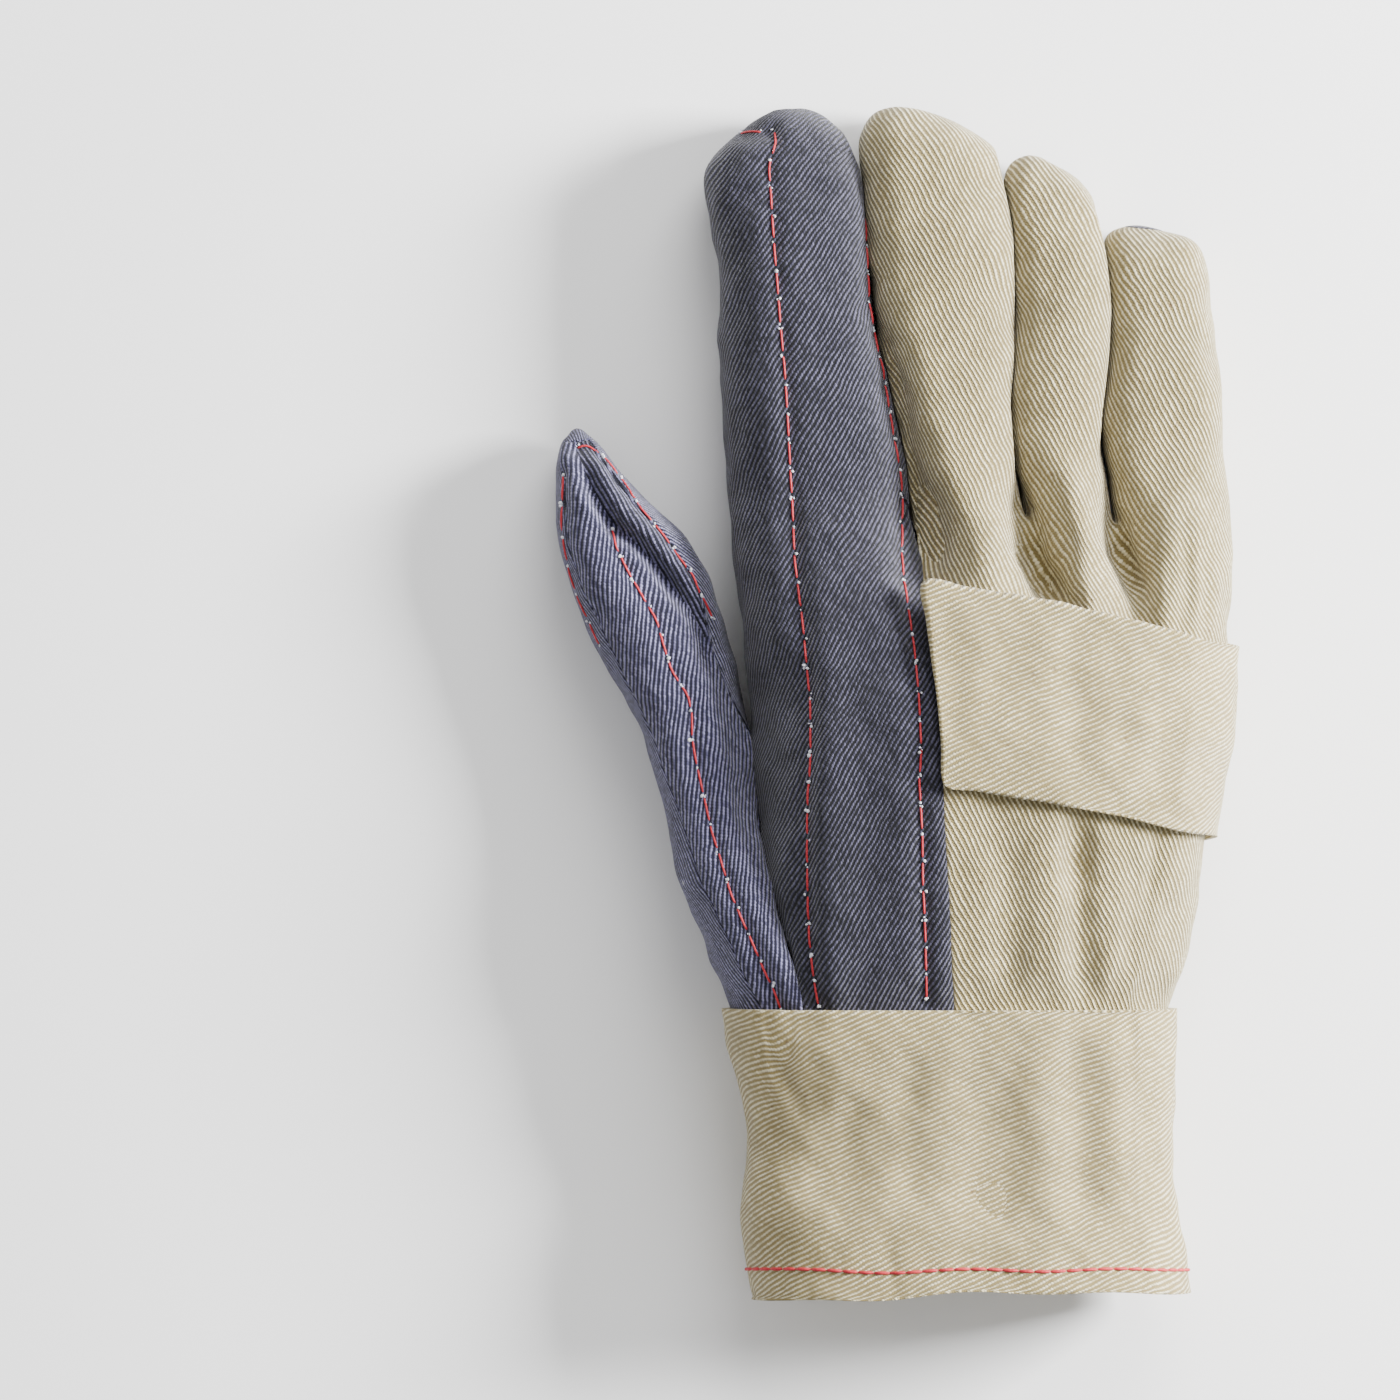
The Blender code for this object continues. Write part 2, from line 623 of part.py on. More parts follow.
def cap(shell, prefix, edges, panel, height):
    """Closes a finger's last ring with a small grid that stands out a little."""
    sides = {}
    for i in range(edges + 1):
        sides[i, 0], sides[i, SIDE_EDGES] = (*prefix, "b", i), (*prefix, "p", i)
    for q in range(1, SIDE_EDGES):
        sides[0, q], sides[edges, q] = (*prefix, "l", q), (*prefix, "r", q)
    for i in range(1, edges):
        for q in range(1, SIDE_EDGES):
            across, down = i / edges, q / SIDE_EDGES
            level = shell.points[sides[0, q]].lerp(shell.points[sides[edges, q]], across)
            upright = shell.points[sides[i, 0]].lerp(shell.points[sides[i, SIDE_EDGES]], down)
            bulge = height * math.sin(math.pi * across) * math.sin(math.pi * down)
            sides[i, q] = (*prefix, "c", i, q)
            shell.points[sides[i, q]] = (level + upright) / 2 + Vector((0, bulge, 0))
    for i in range(edges):
        for q in range(SIDE_EDGES):
            shell.face(panel, sides[i, q], sides[i + 1, q], sides[i + 1, q + 1], sides[i, q + 1])


def thumb_faces(shell):
    crotch_row = LAP_ROWS + LOWER_ROWS

    def base_key(kind, i):
        if kind in ("b", "p"):
            return ("h", crotch_row, kind, 0) if i == THUMB_EDGES else ("h", crotch_row, "t" + kind, i)
        return ("h", crotch_row, "l", i) if kind == "r" else ("h", crotch_row, "to", i)

    start, _ = thumb_ring(0)
    base = {key: shell.points[base_key(*key)] for key in start}
    for row in range(1, FINGER_ROWS + 1):
        formula, share = thumb_ring(row)
        shell.add(("thumb", row), settled(formula, base, start, settle(share, SETTLE_FINGER)))

    def key_at(row):
        return lambda c: base_key(*c) if row == 0 else ("thumb", row, *c)

    for row in range(FINGER_ROWS):
        low, high = key_at(row), key_at(row + 1)
        shell.band("thumb_top", low, high, [("b", i) for i in range(THUMB_EDGES + 1)])
        shell.band("thumb_under", low, high, [("p", i) for i in range(THUMB_EDGES + 1)])
        shell.band("thumb_under", low, high, side_columns("r", "b", THUMB_EDGES))
        shell.band("thumb_under", low, high, side_columns("l", "b", 0))
    cap(shell, ("thumb", FINGER_ROWS), THUMB_EDGES, "thumb_under", THUMB_CAP_BULGE * THUMB_THICKNESS)


def fold_depth(point, upward):
    """How far the folds sink a point into the cloth."""
    total = 0.0
    for row in FOLDS:
        fold = dict(zip(FOLD_COLUMNS, row))
        if fold["side"] * upward <= 0:
            continue
        start = Vector((fold["x0"] * HAND_WIDTH, fold["y0"] * HAND_LENGTH))
        end = Vector((fold["x1"] * HAND_WIDTH, fold["y1"] * HAND_LENGTH))
        line = end - start
        t = min(max((point.xy - start).dot(line) / line.length_squared, 0.0), 1.0)
        off = (point.xy - start - line * t).length / (fold["half_width"] * HAND_WIDTH)
        total += fold["depth"] * HAND_THICKNESS * math.exp(-off * off) * abs(upward)
    return total


def soften(verts, step):
    """Moves each vertex towards the middle of its neighbours, or away from it for a negative step."""
    moves = []
    for v in verts:
        ring = [e.other_vert(v).co for e in v.link_edges]
        moves.append((sum(ring, Vector()) / len(ring) - v.co) * step)
    for v, move in zip(verts, moves):
        v.co += move


def near_hand(key):
    return key[0] == "w" or (key[0] in FINGER_SPANS or key[0] == "thumb") and key[1] <= SMOOTH_ROWS


def outer_surface(shell):
    """The whole surface as one bmesh, smoothed, folded and laid flat on the floor. Faces keep their panel's number."""
    bm = bmesh.new()
    made = {key: bm.verts.new(point) for key, point in shell.points.items() if key_used(shell, key)}
    panels = sorted({panel for panel, _ in shell.faces})
    for panel, keys in shell.faces:
        bm.faces.new([made[key] for key in keys]).material_index = panels.index(panel)
    bmesh.ops.recalc_face_normals(bm, faces=bm.faces)
    free = [made[key] for key in made if key[0] != "h" or key[1] > LAP_ROWS]
    loose = [made[key] for key in made if (key[0] == "h" and key[1] > LAP_ROWS) or near_hand(key)]
    for step in SMOOTH_STEPS:
        soften(loose, step)
    bm.normal_update()
    for v in free:
        v.co -= v.normal * fold_depth(v.co, v.normal.z)
    for v in bm.verts:
        v.co.z = max(v.co.z, 0.0)
    bm.normal_update()
    return bm, made, panels


def key_used(shell, key):
    if not hasattr(shell, "used"):
        shell.used = {name for _, keys in shell.faces for name in keys}
    return key in shell.used


def pulls(bm):
    """How each rim vertex moves so that both of its edges draw back by half a seam gap."""
    bm.normal_update()
    inward = {}
    for edge in bm.edges:
        if edge.is_boundary:
            loop = edge.link_loops[0]
            run = (loop.link_loop_next.vert.co - loop.vert.co).normalized()
            for v in edge.verts:
                inward.setdefault(v, []).append(loop.face.normal.cross(run))
    moves = {}
    for v, sides in inward.items():
        mitre = 1 + sides[0].dot(sides[-1])
        moves[v] = (sides[0] + sides[-1]) / max(mitre, LEAST_MITRE) * SEAM_GAP / 2
    return moves


def thicken(bm, walls, corners=()):
    """Closes an open sheet with an inner skin and rims. walls maps each vertex to its offset into the cloth, and
    corners are the places whose rims draw back further."""
    rims = []
    for edge in bm.edges:
        if edge.is_boundary:
            a, b = edge.link_loops[0].vert, edge.link_loops[0].link_loop_next.vert
            rims.append((a, b, (a.co.y, a.co.x, a.co.z) < (b.co.y, b.co.x, b.co.z)))
    for v, move in pulls(bm).items():
        v.co += move * (CORNER_PULL if v.co.to_tuple(7) in corners else 1)
    inner = {v: bm.verts.new(v.co + wall) for v, wall in walls.items()}
    for face in list(bm.faces):
        bm.faces.new([inner[v] for v in reversed(face.verts)])
    for a, b, rising in rims:
        # The panels on both sides of a seam split their rims along the same diagonal.
        if rising:
            bm.faces.new([b, a, inner[b]])
            bm.faces.new([a, inner[a], inner[b]])
        else:
            bm.faces.new([b, a, inner[a]])
            bm.faces.new([b, inner[a], inner[b]])


def is_corner(v):
    """Whether more than two panels meet here, or the seam between two of them turns sharply."""
    seams = [e for e in v.link_edges if len({f.material_index for f in e.link_faces}) > 1]
    if len(seams) != 2:
        return len(seams) > 2
    ways = [(e.other_vert(v).co - v.co).normalized() for e in seams]
    return ways[0].dot(ways[1]) > SHARP_TURN


def panel_object(name, source, index, wall, slit, colour):
    """One panel cut out of the whole surface and given its wall."""
    bm = bmesh.new()
    twin, walls = {}, {}
    slit_pairs = {frozenset(pair) for pair in slit}
    for face in source.faces:
        if face.material_index != index:
            continue
        for v in face.verts:
            if v not in twin:
                twin[v] = bm.verts.new(v.co)
                factor = min(v.calc_shell_factor(), MOST_SHELL_FACTOR)
                walls[twin[v]] = -v.normal * wall * factor
        bm.faces.new([twin[v] for v in face.verts])
    back = {copy: v for v, copy in twin.items()}
    cuts = [e for e in bm.edges if frozenset(back[v] for v in e.verts) in slit_pairs]
    if cuts:
        placed = {tuple(v.co): walls[v] for v in bm.verts}
        bmesh.ops.split_edges(bm, edges=cuts)
        walls = {v: placed[tuple(v.co)] for v in bm.verts}
    thicken(bm, walls, {v.co.to_tuple(7) for v in source.verts if is_corner(v)})
    finish_object(name, bm, colour)


def finish_object(name, bm, colour):
    bmesh.ops.recalc_face_normals(bm, faces=bm.faces)
    mesh = bpy.data.meshes.new(name)
    bm.to_mesh(mesh)
    bm.free()
    mesh.shade_smooth()
    mesh.set_sharp_from_angle(angle=math.radians(70))
    obj = bpy.data.objects.new(name, mesh)
    bpy.context.scene.collection.objects.link(obj)
    mesh.materials.append(cloth_material(colour))
    return obj


def cloth_material(colour):
    found = bpy.data.materials.get(colour)
    if found:
        return found
    made = bpy.data.materials.new(colour)
    made.use_nodes = True
    shader = made.node_tree.nodes["Principled BSDF"]
    shader.inputs["Base Color"].default_value = (*MATERIALS[colour], 1)
    shader.inputs["Roughness"].default_value = 0.9
    return made


def cuff_ring(along, inset):
    """The cuff at a share of its length, made smaller by an inset."""
    y = WRIST_Y - along * CUFF_LENGTH
    left, right = cuff(along, "left") * HAND_WIDTH + inset, cuff(along, "right") * HAND_WIDTH - inset
    mid, top = cuff(along, "mid") * CUFF_THICKNESS, cuff(along, "top") * CUFF_THICKNESS - inset
    crease = hand(0, "crease") * HAND_WIDTH
    seams = [hand(0, name) * HAND_WIDTH for name in ("index", "middle", "ring")]
    return wrist_ring(y, left, right, inset, mid, top, crease, seams)


def cuff_order():
    """Columns round the cuff from its side seam under the little finger, over the palm and back to the seam."""
    order = [("p", i) for i in range(BACK_EDGES, -1, -1)]
    order += [("tp", i) for i in range(THUMB_EDGES - 1, -1, -1)]
    order += [("to", q) for q in range(SIDE_EDGES - 1, 0, -1)]
    order += [("tb", i) for i in range(THUMB_EDGES)]
    order += [("b", i) for i in range(BACK_EDGES + 1)]
    return order + [("r", q) for q in range(1, SIDE_EDGES)]


def cuff_object():
    """A band folded round the wrist whose two ends meet at the little finger's side."""
    bm = bmesh.new()
    order = cuff_order()
    grid = []
    for row in range(CUFF_ROWS + 1):
        along = row / CUFF_ROWS
        outer, inner = cuff_ring(along, 0.0), cuff_ring(along, CUFF_WALL)
        line = []
        for skin in (outer, inner):
            points = [skin[key].copy() for key in order]
            points.append(points[0].copy())
            for end, beside in ((0, 1), (-1, -2)):
                points[end] += (points[beside] - points[end]).normalized() * SEAM_GAP / 2
            for p in points:
                wave = HEM_WAVE * CUFF_LENGTH * math.sin(math.pi * p.x / (HAND_WIDTH * 0.9)) * along**3
                p.y += wave
            line.append([bm.verts.new(p) for p in points])
        grid.append(line)
    count = len(grid[0][0])
    for low, high in zip(grid, grid[1:]):
        for i in range(count - 1):
            bm.faces.new([low[0][i], low[0][i + 1], high[0][i + 1], high[0][i]])
            bm.faces.new([low[1][i + 1], low[1][i], high[1][i], high[1][i + 1]])
        for i in (0, count - 1):
            bm.faces.new([low[0][i], high[0][i], high[1][i], low[1][i]])
    for line in (grid[0], grid[-1]):
        for i in range(count - 1):
            bm.faces.new([line[0][i + 1], line[0][i], line[1][i], line[1][i + 1]])
    return finish_object("cuff", bm, "canvas")


def strap_object():
    """A doubled band over the knuckles, from the index seam round the little finger's side."""
    bm = bmesh.new()
    columns = [("b", i) for i in range(INDEX_SEAM, BACK_EDGES + 1)]
    columns += [("r", q) for q in range(1, SIDE_EDGES)] + [("p", BACK_EDGES)]
    grid = []
    for row in range(STRAP_ROWS + 1):
        skins = [[], []]
        for n, key in enumerate(columns):
            share = n / (len(columns) - 1)
            across = (row / STRAP_ROWS - 0.5) * STRAP_WIDTH * (1 - STRAP_TAPER * share) / HAND_LENGTH
            along = STRAP_MIDDLE - STRAP_SLOPE * share + across
            ring = upper_hand(along)
            point = ring[key]
            left, right, mid, up, down = hand_box(along)
            centre = Vector(((left + right) / 2, point.y, mid))
            out = Vector(((point.x - centre.x) / ((right - left) / 2) ** 2, 0, (point.z - mid) / up**2)).normalized()
            lift = STRAP_LIFT + STRAP_STAND_OFF * share**2 * math.sin(math.pi * share)
            if n == 0:
                point = point + Vector((SEAM_GAP, 0, 0))
            skins[0].append(bm.verts.new(point + out * (lift + STRAP_WALL)))
            skins[1].append(bm.verts.new(point + out * lift))
        grid.append(skins)
    count = len(columns)
    for low, high in zip(grid, grid[1:]):
        for i in range(count - 1):
            bm.faces.new([low[0][i], low[0][i + 1], high[0][i + 1], high[0][i]])
            bm.faces.new([low[1][i + 1], low[1][i], high[1][i], high[1][i + 1]])
        for i in (0, count - 1):
            bm.faces.new([low[0][i], high[0][i], high[1][i], low[1][i]])
    for line in (grid[0], grid[-1]):
        for i in range(count - 1):
            bm.faces.new([line[0][i + 1], line[0][i], line[1][i], line[1][i + 1]])
    return finish_object("knuckle_strap", bm, "canvas")


def main():
    for obj in list(bpy.data.objects):
        bpy.data.objects.remove(obj)
    shell = Shell()
    hand_rows(shell)
    crotch_row = LAP_ROWS + LOWER_ROWS + UPPER_ROWS
    webs(shell, crotch_row)
    hand_faces(shell)
    for name in FINGER_SPANS:
        finger(shell, name, crotch_row)
    thumb_faces(shell)
    surface, made, panels = outer_surface(shell)
    slit = [(made[a], made[b]) for a, b in shell.slit]
    for name, panel, wall, colour in (
        ("palm_panel", "palm", DENIM_WALL, "denim"),
        ("back_panel", "back", CANVAS_WALL, "canvas"),
        ("thumb_top", "thumb_top", DENIM_WALL, "denim"),
        ("thumb_under", "thumb_under", DENIM_WALL, "denim"),
    ):
        panel_object(name, surface, panels.index(panel), wall, slit if panel == "palm" else [], colour)
    surface.free()
    cuff_object()
    strap_object()


main()
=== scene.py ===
"""Looks of a heat resistant work glove: twill denim and canvas cloth, red quilting thread, lint, folds and a studio.

Run it as a script. Places on the glove are in millimetres on the plan: +X to the little finger, +Y to the fingertips.
"""

import json
import math

import bmesh
import bpy
import numpy as np
from bpy.props import FloatProperty, FloatVectorProperty, IntProperty, PointerProperty
from mathutils import Matrix, Vector
from mathutils.bvhtree import BVHTree

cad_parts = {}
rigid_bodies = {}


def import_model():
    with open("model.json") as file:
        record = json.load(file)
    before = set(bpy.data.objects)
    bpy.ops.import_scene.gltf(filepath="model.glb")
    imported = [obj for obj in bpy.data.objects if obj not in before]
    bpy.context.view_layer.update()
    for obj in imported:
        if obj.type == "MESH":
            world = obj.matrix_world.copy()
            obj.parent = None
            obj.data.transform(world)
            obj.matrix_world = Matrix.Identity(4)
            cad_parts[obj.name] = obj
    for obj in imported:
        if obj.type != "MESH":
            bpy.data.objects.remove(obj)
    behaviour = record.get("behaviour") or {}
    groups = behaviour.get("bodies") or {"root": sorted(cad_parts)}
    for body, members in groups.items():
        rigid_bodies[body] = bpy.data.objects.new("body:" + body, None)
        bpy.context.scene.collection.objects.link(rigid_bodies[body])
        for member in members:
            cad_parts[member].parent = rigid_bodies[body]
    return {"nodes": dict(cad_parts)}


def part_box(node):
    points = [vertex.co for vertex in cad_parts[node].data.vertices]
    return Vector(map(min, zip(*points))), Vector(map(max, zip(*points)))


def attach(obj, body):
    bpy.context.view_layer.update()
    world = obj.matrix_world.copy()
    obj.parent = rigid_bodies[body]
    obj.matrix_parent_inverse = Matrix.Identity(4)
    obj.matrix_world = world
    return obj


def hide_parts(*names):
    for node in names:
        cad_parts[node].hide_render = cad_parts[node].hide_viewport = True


bl_info = {
    "name": "High heat work glove looks",
    "version": (1, 0, 0),
    "blender": (4, 5, 0),
    "location": "3D View > Sidebar > Glove",
    "description": "Dresses the solids of a sewn work glove in cloth, thread and lint",
    "category": "Object",
}

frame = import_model()

MM = 0.001

# Sewn lines on the back of the glove
INDEX_LINE = ((-39.1, 143.3), (-38.7, 140.8), (-40.1, 136.3), (-40.3, 134.8), (-39.6, 123.5), (-39.1, 116.5),
    (-38.5, 108.7), (-37.8, 99.5), (-36.9, 89.8), (-36.2, 79), (-35.6, 67.3), (-35.1, 59.2), (-34.6, 46.4),
    (-33.5, 38), (-32.9, 33.5), (-31.7, 20.7), (-31.1, 14.4), (-31.1, 1.6), (-31.7, -5.4), (-31.9, -17.8),
    (-31.7, -30.6), (-31.3, -38.7), (-30.4, -46.6), (-29.2, -53.6))
INDEX_TIP = ((-46.8, 143.1), (-44.1, 143.3), (-41.2, 143.1))
INDEX_SEAM = ((-18.9, 130.3), (-18.4, 117.5), (-17.8, 104.6), (-16.2, 95.4), (-14.8, 90), (-12.2, 73.8), (-11, 67.7),
    (-10.3, 60.8), (-10.6, 47.9), (-10.1, 41.9), (-9.2, 35.6), (-8.1, 27.9), (-7.7, 24.1), (-7, 16), (-6.5, 3.8),
    (-7, -2.5), (-6.3, -14.6), (-6.1, -26.6), (-5.6, -36.7), (-5.2, -52.2))
THUMB_LINE = ((-75.6, 54), (-74.9, 50.4), (-72.2, 44.8), (-68.6, 38.5), (-65.5, 33.3), (-64.4, 29.2), (-62.3, 22.3),
    (-58.5, 16.4), (-57.6, 12.4), (-57.6, 7.4), (-57.1, 3.8), (-56.2, -0.5), (-54.5, -7.9), (-53.3, -13.5),
    (-51.5, -19.1), (-48.8, -28.1), (-46.6, -33.1), (-44.1, -38.7), (-41.6, -44.6), (-38.9, -50.2), (-37.4, -54.7))
THUMB_RIGHT = ((-83.5, 72.2), (-81.5, 72.9), (-78.1, 70.9), (-73.8, 65.7), (-69.8, 59.6), (-65.9, 54.9),
    (-61.9, 49.7), (-57.8, 44.1), (-55.4, 38.9), (-52.6, 32.9))
THUMB_LEFT = ((-86.6, 66), (-86.9, 54), (-85.4, 45.2), (-83.4, 38.8), (-80.4, 32.4), (-78, 27))

# Sewn lines under the palm
PALM_LITTLE = ((42.1, 119), (44.1, 94.3), (47.1, 74), (50, 47), (52.5, 29), (53, 15.5), (51.7, -18.2), (47.7, -53))
PALM_RING = ((27, 57.1), (27.7, 29), (27.5, 6.5), (24.9, -18.2), (22.4, -53.6))
PALM_CENTRE = ((12.6, 43.6), (8.1, 20), (4.8, -2.5), (1.8, -25), (-4.5, -45.2), (-6.3, -53.2))
PALM_MIDDLE = ((-6.6, 146), (-5.8, 105.5), (-5.3, 74), (-10.3, 47), (-15.1, 15.5), (-15.9, -0.2), (-21.4, -16),
    (-25.7, -34), (-28.8, -53.5))
PALM_CROSS = ((-18.4, 42.5), (-28.5, 26.8), (-36, 15.5), (-41.1, 6.5))
PALM_INDEX = ((-36.8, 138.2), (-36, 116.8), (-33, 76.3))

# Sewn lines, by the piece and the side that they show on: 1 the back, -1 the palm
QUILTING = (
    ("palm_cloth", 1, (INDEX_LINE, INDEX_SEAM, INDEX_TIP)),
    ("thumb_top_cloth", 1, (THUMB_LINE, THUMB_RIGHT, THUMB_LEFT)),
    ("palm_cloth", -1, (PALM_LITTLE, PALM_RING, PALM_CENTRE, PALM_MIDDLE, PALM_CROSS, PALM_INDEX)),
)

THUMB_SIDE_TURN = math.radians(32)
THUMB_CREASE = ((-83.5, 71.3), (-80.8, 65), (-78.3, 59.6), (-75.2, 54.9), (-69.5, 50.2), (-64.6, 44.6), (-61.4, 40.1),
    (-57.4, 34.9), (-54.9, 29.7))

# Folds, by the piece and its side: the line, half the width and the depth
FOLDS = {
    ("thumb_top_cloth", 1): ((THUMB_CREASE, 1.7, 2.2),),
    ("palm_cloth", 1): (
        (((-51, 140.5), (-47, 142.4), (-42, 141.6)), 1.3, 0.9), (((-50, 64), (-44, 60), (-39, 61)), 2, 0.35),
        (((-33, 92), (-27, 88), (-20, 90)), 2.4, 0.35), (((-47, 104), (-41, 100), (-36, 101)), 2.2, 0.3),
        (((-55, 30), (-49, 5), (-42, -22), (-36, -50)), 3, 0.8),
        (((-21, 60), (-20, 30), (-19, -10), (-18, -50)), 4, 0.45),
    ),
    ("back_cloth", 1): (
        (((-15, 100), (-12, 80), (-8, 62), (-4, 48), (1, 38)), 4.2, 2),
        (((14, 66), (15.6, 57), (17.5, 50), (20, 43), (24, 35)), 2.4, 1),
        (((34.7, 66), (35.4, 57), (37.3, 51), (40, 43), (42.5, 35)), 2.4, 1),
        (((0, 62), (4, 52), (6, 42), (5, 34)), 2.6, 0.5), (((21, 70), (25, 58), (30, 46), (36, 34)), 2.2, 0.7),
        (((15.1, 67.3), (18.4, 54.5), (18.9, 46.8), (23.4, 39.8), (28.1, 33)), 2.4, 1.5),
        (((34.9, 62.8), (36.9, 57.4), (38.9, 50.6), (41.8, 42.8), (44, 33)), 2.2, 1.2),
        (((52.5, 58), (53.8, 44), (53.2, 30)), 1.5, 0.7), (((56.6, 52), (57.5, 40), (56.8, 28)), 1.3, 0.6),
        (((28.1, -8), (28.8, -30), (29.3, -53.5)), 2.6, 1), (((12, -8), (12.6, -30), (11.5, -53.5)), 3.4, 0.5),
        (((42, -14), (41.5, -30), (40.5, -53.5)), 2.4, 0.6),
    ),
    ("cuff_cloth", 1): (
        (((27.5, -56), (29, -80), (30.5, -104)), 4.5, 1.5), (((43, -58), (44.5, -80), (44, -100)), 3.6, 0.6),
        (((-8, -62), (-9.5, -84), (-7, -106)), 4, 0.5), (((6, -62), (9, -85), (10.5, -108)), 6.5, 0.9),
        (((-26, -70), (-24, -90), (-25, -110)), 6.5, 0.8),
    ),
    ("strap_cloth", 1): (
        (((-1, 40), (0.5, 20), (1.5, -2)), 3.2, 0.5), (((26, 34), (28, 14), (29, -8)), 3.4, 0.55),
        (((47, 30), (47.5, 10), (46, -12)), 3, 0.45),
    ),
    ("cuff_cloth", -1): (
        (((-30, -60), (-27, -85), (-29, -108)), 5, 0.6), (((22, -60), (24, -85), (21, -108)), 5, 0.6),
    ),
}

# Lines along which the fingers touch, and how far each side comes over, at most
FINGER_GAPS = (
    (((-24, 146), (-21.8, 140.2), (-19.8, 135.5), (-18.9, 130.3), (-18.4, 117.5), (-17.5, 104.6), (-15.9, 95.4),
        (-13.9, 89.8), (-11.9, 79.7), (-9.4, 68.9), (-8.1, 54.9), (-7, 46.8)), 1.3),
    (((9, 147), (11.5, 137), (14.6, 122.2), (15.1, 106.4), (14.8, 90), (14, 81.9), (15.1, 67.3), (18.4, 54.5)), 1.7),
    (((32, 130), (34.6, 121), (35.8, 114.5), (36.9, 102.8), (36, 90), (34.6, 79.2), (34.6, 67.3), (34.9, 62.8)), 1.7),
)

# Ends of the finger gaps, and how far around them the cloth is eased
CROTCHES = ((16.2, 53.5), (36.0, 54.5), (-5.6, 54.6))
CROTCH_REACH = 5.5 * MM

# How the solids' triangles become cloth
QUAD_TURN = math.radians(80)
SKIN_TURN = math.radians(50)
SLIT_WIDTH, SLIT_JOIN = 0.6 * MM, 0.55 * MM
NARROW_FACE = 1.5 * MM
LEVEL_FACING, LEVEL_PULL = 0.6, 3.0
SOFT_EDGE, BAND_EDGE, SHARP_EDGE = 0.6, 0.8, 1.0

# Sections of a sewn line: the dip at the thread, the swell beside it and the puckers
DIP_WIDTH = 1.7 * MM
SWELL_PLACE, SWELL_WIDTH = 4.8 * MM, 3.0 * MM
PUCKER_WIDTH, PUCKER_DRIFT = 5.5 * MM, 17 * MM

# The hem's stitching
HEM_Y = -111.9 * MM
HEM_RAYS = 720
HEM_THREAD = 1.5  # times the quilting thread

# The studio
PHOTO_WIDTH = 315 * MM
CAMERA_AIM = (-55.8 * MM, 15.5 * MM, 18 * MM)
SENSOR_WIDTH = 36.0
LIGHT_AIM = Vector((-0.01, 0.02, 0.02))
LIGHTS = (("right light", (1.10, 0.28, 0.54), 0.40, 86.0), ("top light", (0.30, 1.00, 0.85), 0.80, 16.0))
WORLD_STRENGTH = 0.68


def to_metres(line):
    return np.array(line, float) * MM


def look():
    return bpy.context.scene.glove_look


def new_object(name, data):
    obj = bpy.data.objects.new(name, data)
    bpy.context.scene.collection.objects.link(obj)
    return obj


def evaluated(obj):
    return obj.evaluated_get(bpy.context.evaluated_depsgraph_get())


# Cloth meshes


def skins(bm):
    """The faces of the outer skin and of the inner one. The rims between them turn sharply from both."""
    reached, found = set(), []
    for first in bm.faces:
        if first in reached:
            continue
        reached.add(first)
        group = [first]
        for face in group:
            for edge in face.edges:
                for other in edge.link_faces:
                    if other not in reached and edge.calc_face_angle(0) < SKIN_TURN:
                        reached.add(other)
                        group.append(other)
        found.append(group)
    found.sort(key=lambda group: -sum(f.calc_area() for f in group))
    outer, inner = found[0], found[1]
    if len(outer) > 4 * len(inner):  # a rounded rim joined them
        inner = [f for f in outer if f.normal.z <= 0]
        outer = [f for f in outer if f.normal.z > 0]
    return outer, inner


def slit_walls(bm):
    """The faces that look at each other across a slit, where a seam lies inside one piece."""
    tree = BVHTree.FromBMesh(bm)
    found = set()
    for face in bm.faces:
        middle = face.calc_center_median()
        for point, normal, _, _ in tree.find_nearest_range(middle, SLIT_WIDTH):
            if normal.dot(face.normal) < -0.8 and (point - middle).dot(face.normal) > -0.05 * MM:
                found.add(face)
    return found


def drop_narrow(bm):
    """Joins columns of narrow faces, which would show as a line in rounded cloth."""

    def narrow(face, edge):
        longest = max(e.calc_length() for e in face.edges)
        return face.calc_area() < NARROW_FACE * longest and edge.calc_length() > 0.8 * longest

    level = [e for e in bm.edges if len(e.link_faces) == 2 and e.calc_face_angle() < 0.5]
    lines = [e for e in level if all(narrow(f, e) for f in e.link_faces)]
    bmesh.ops.dissolve_edges(bm, edges=lines, use_verts=True)


CORNERS = ((0, 1, 2), (1, 2, 0), (2, 0, 1))


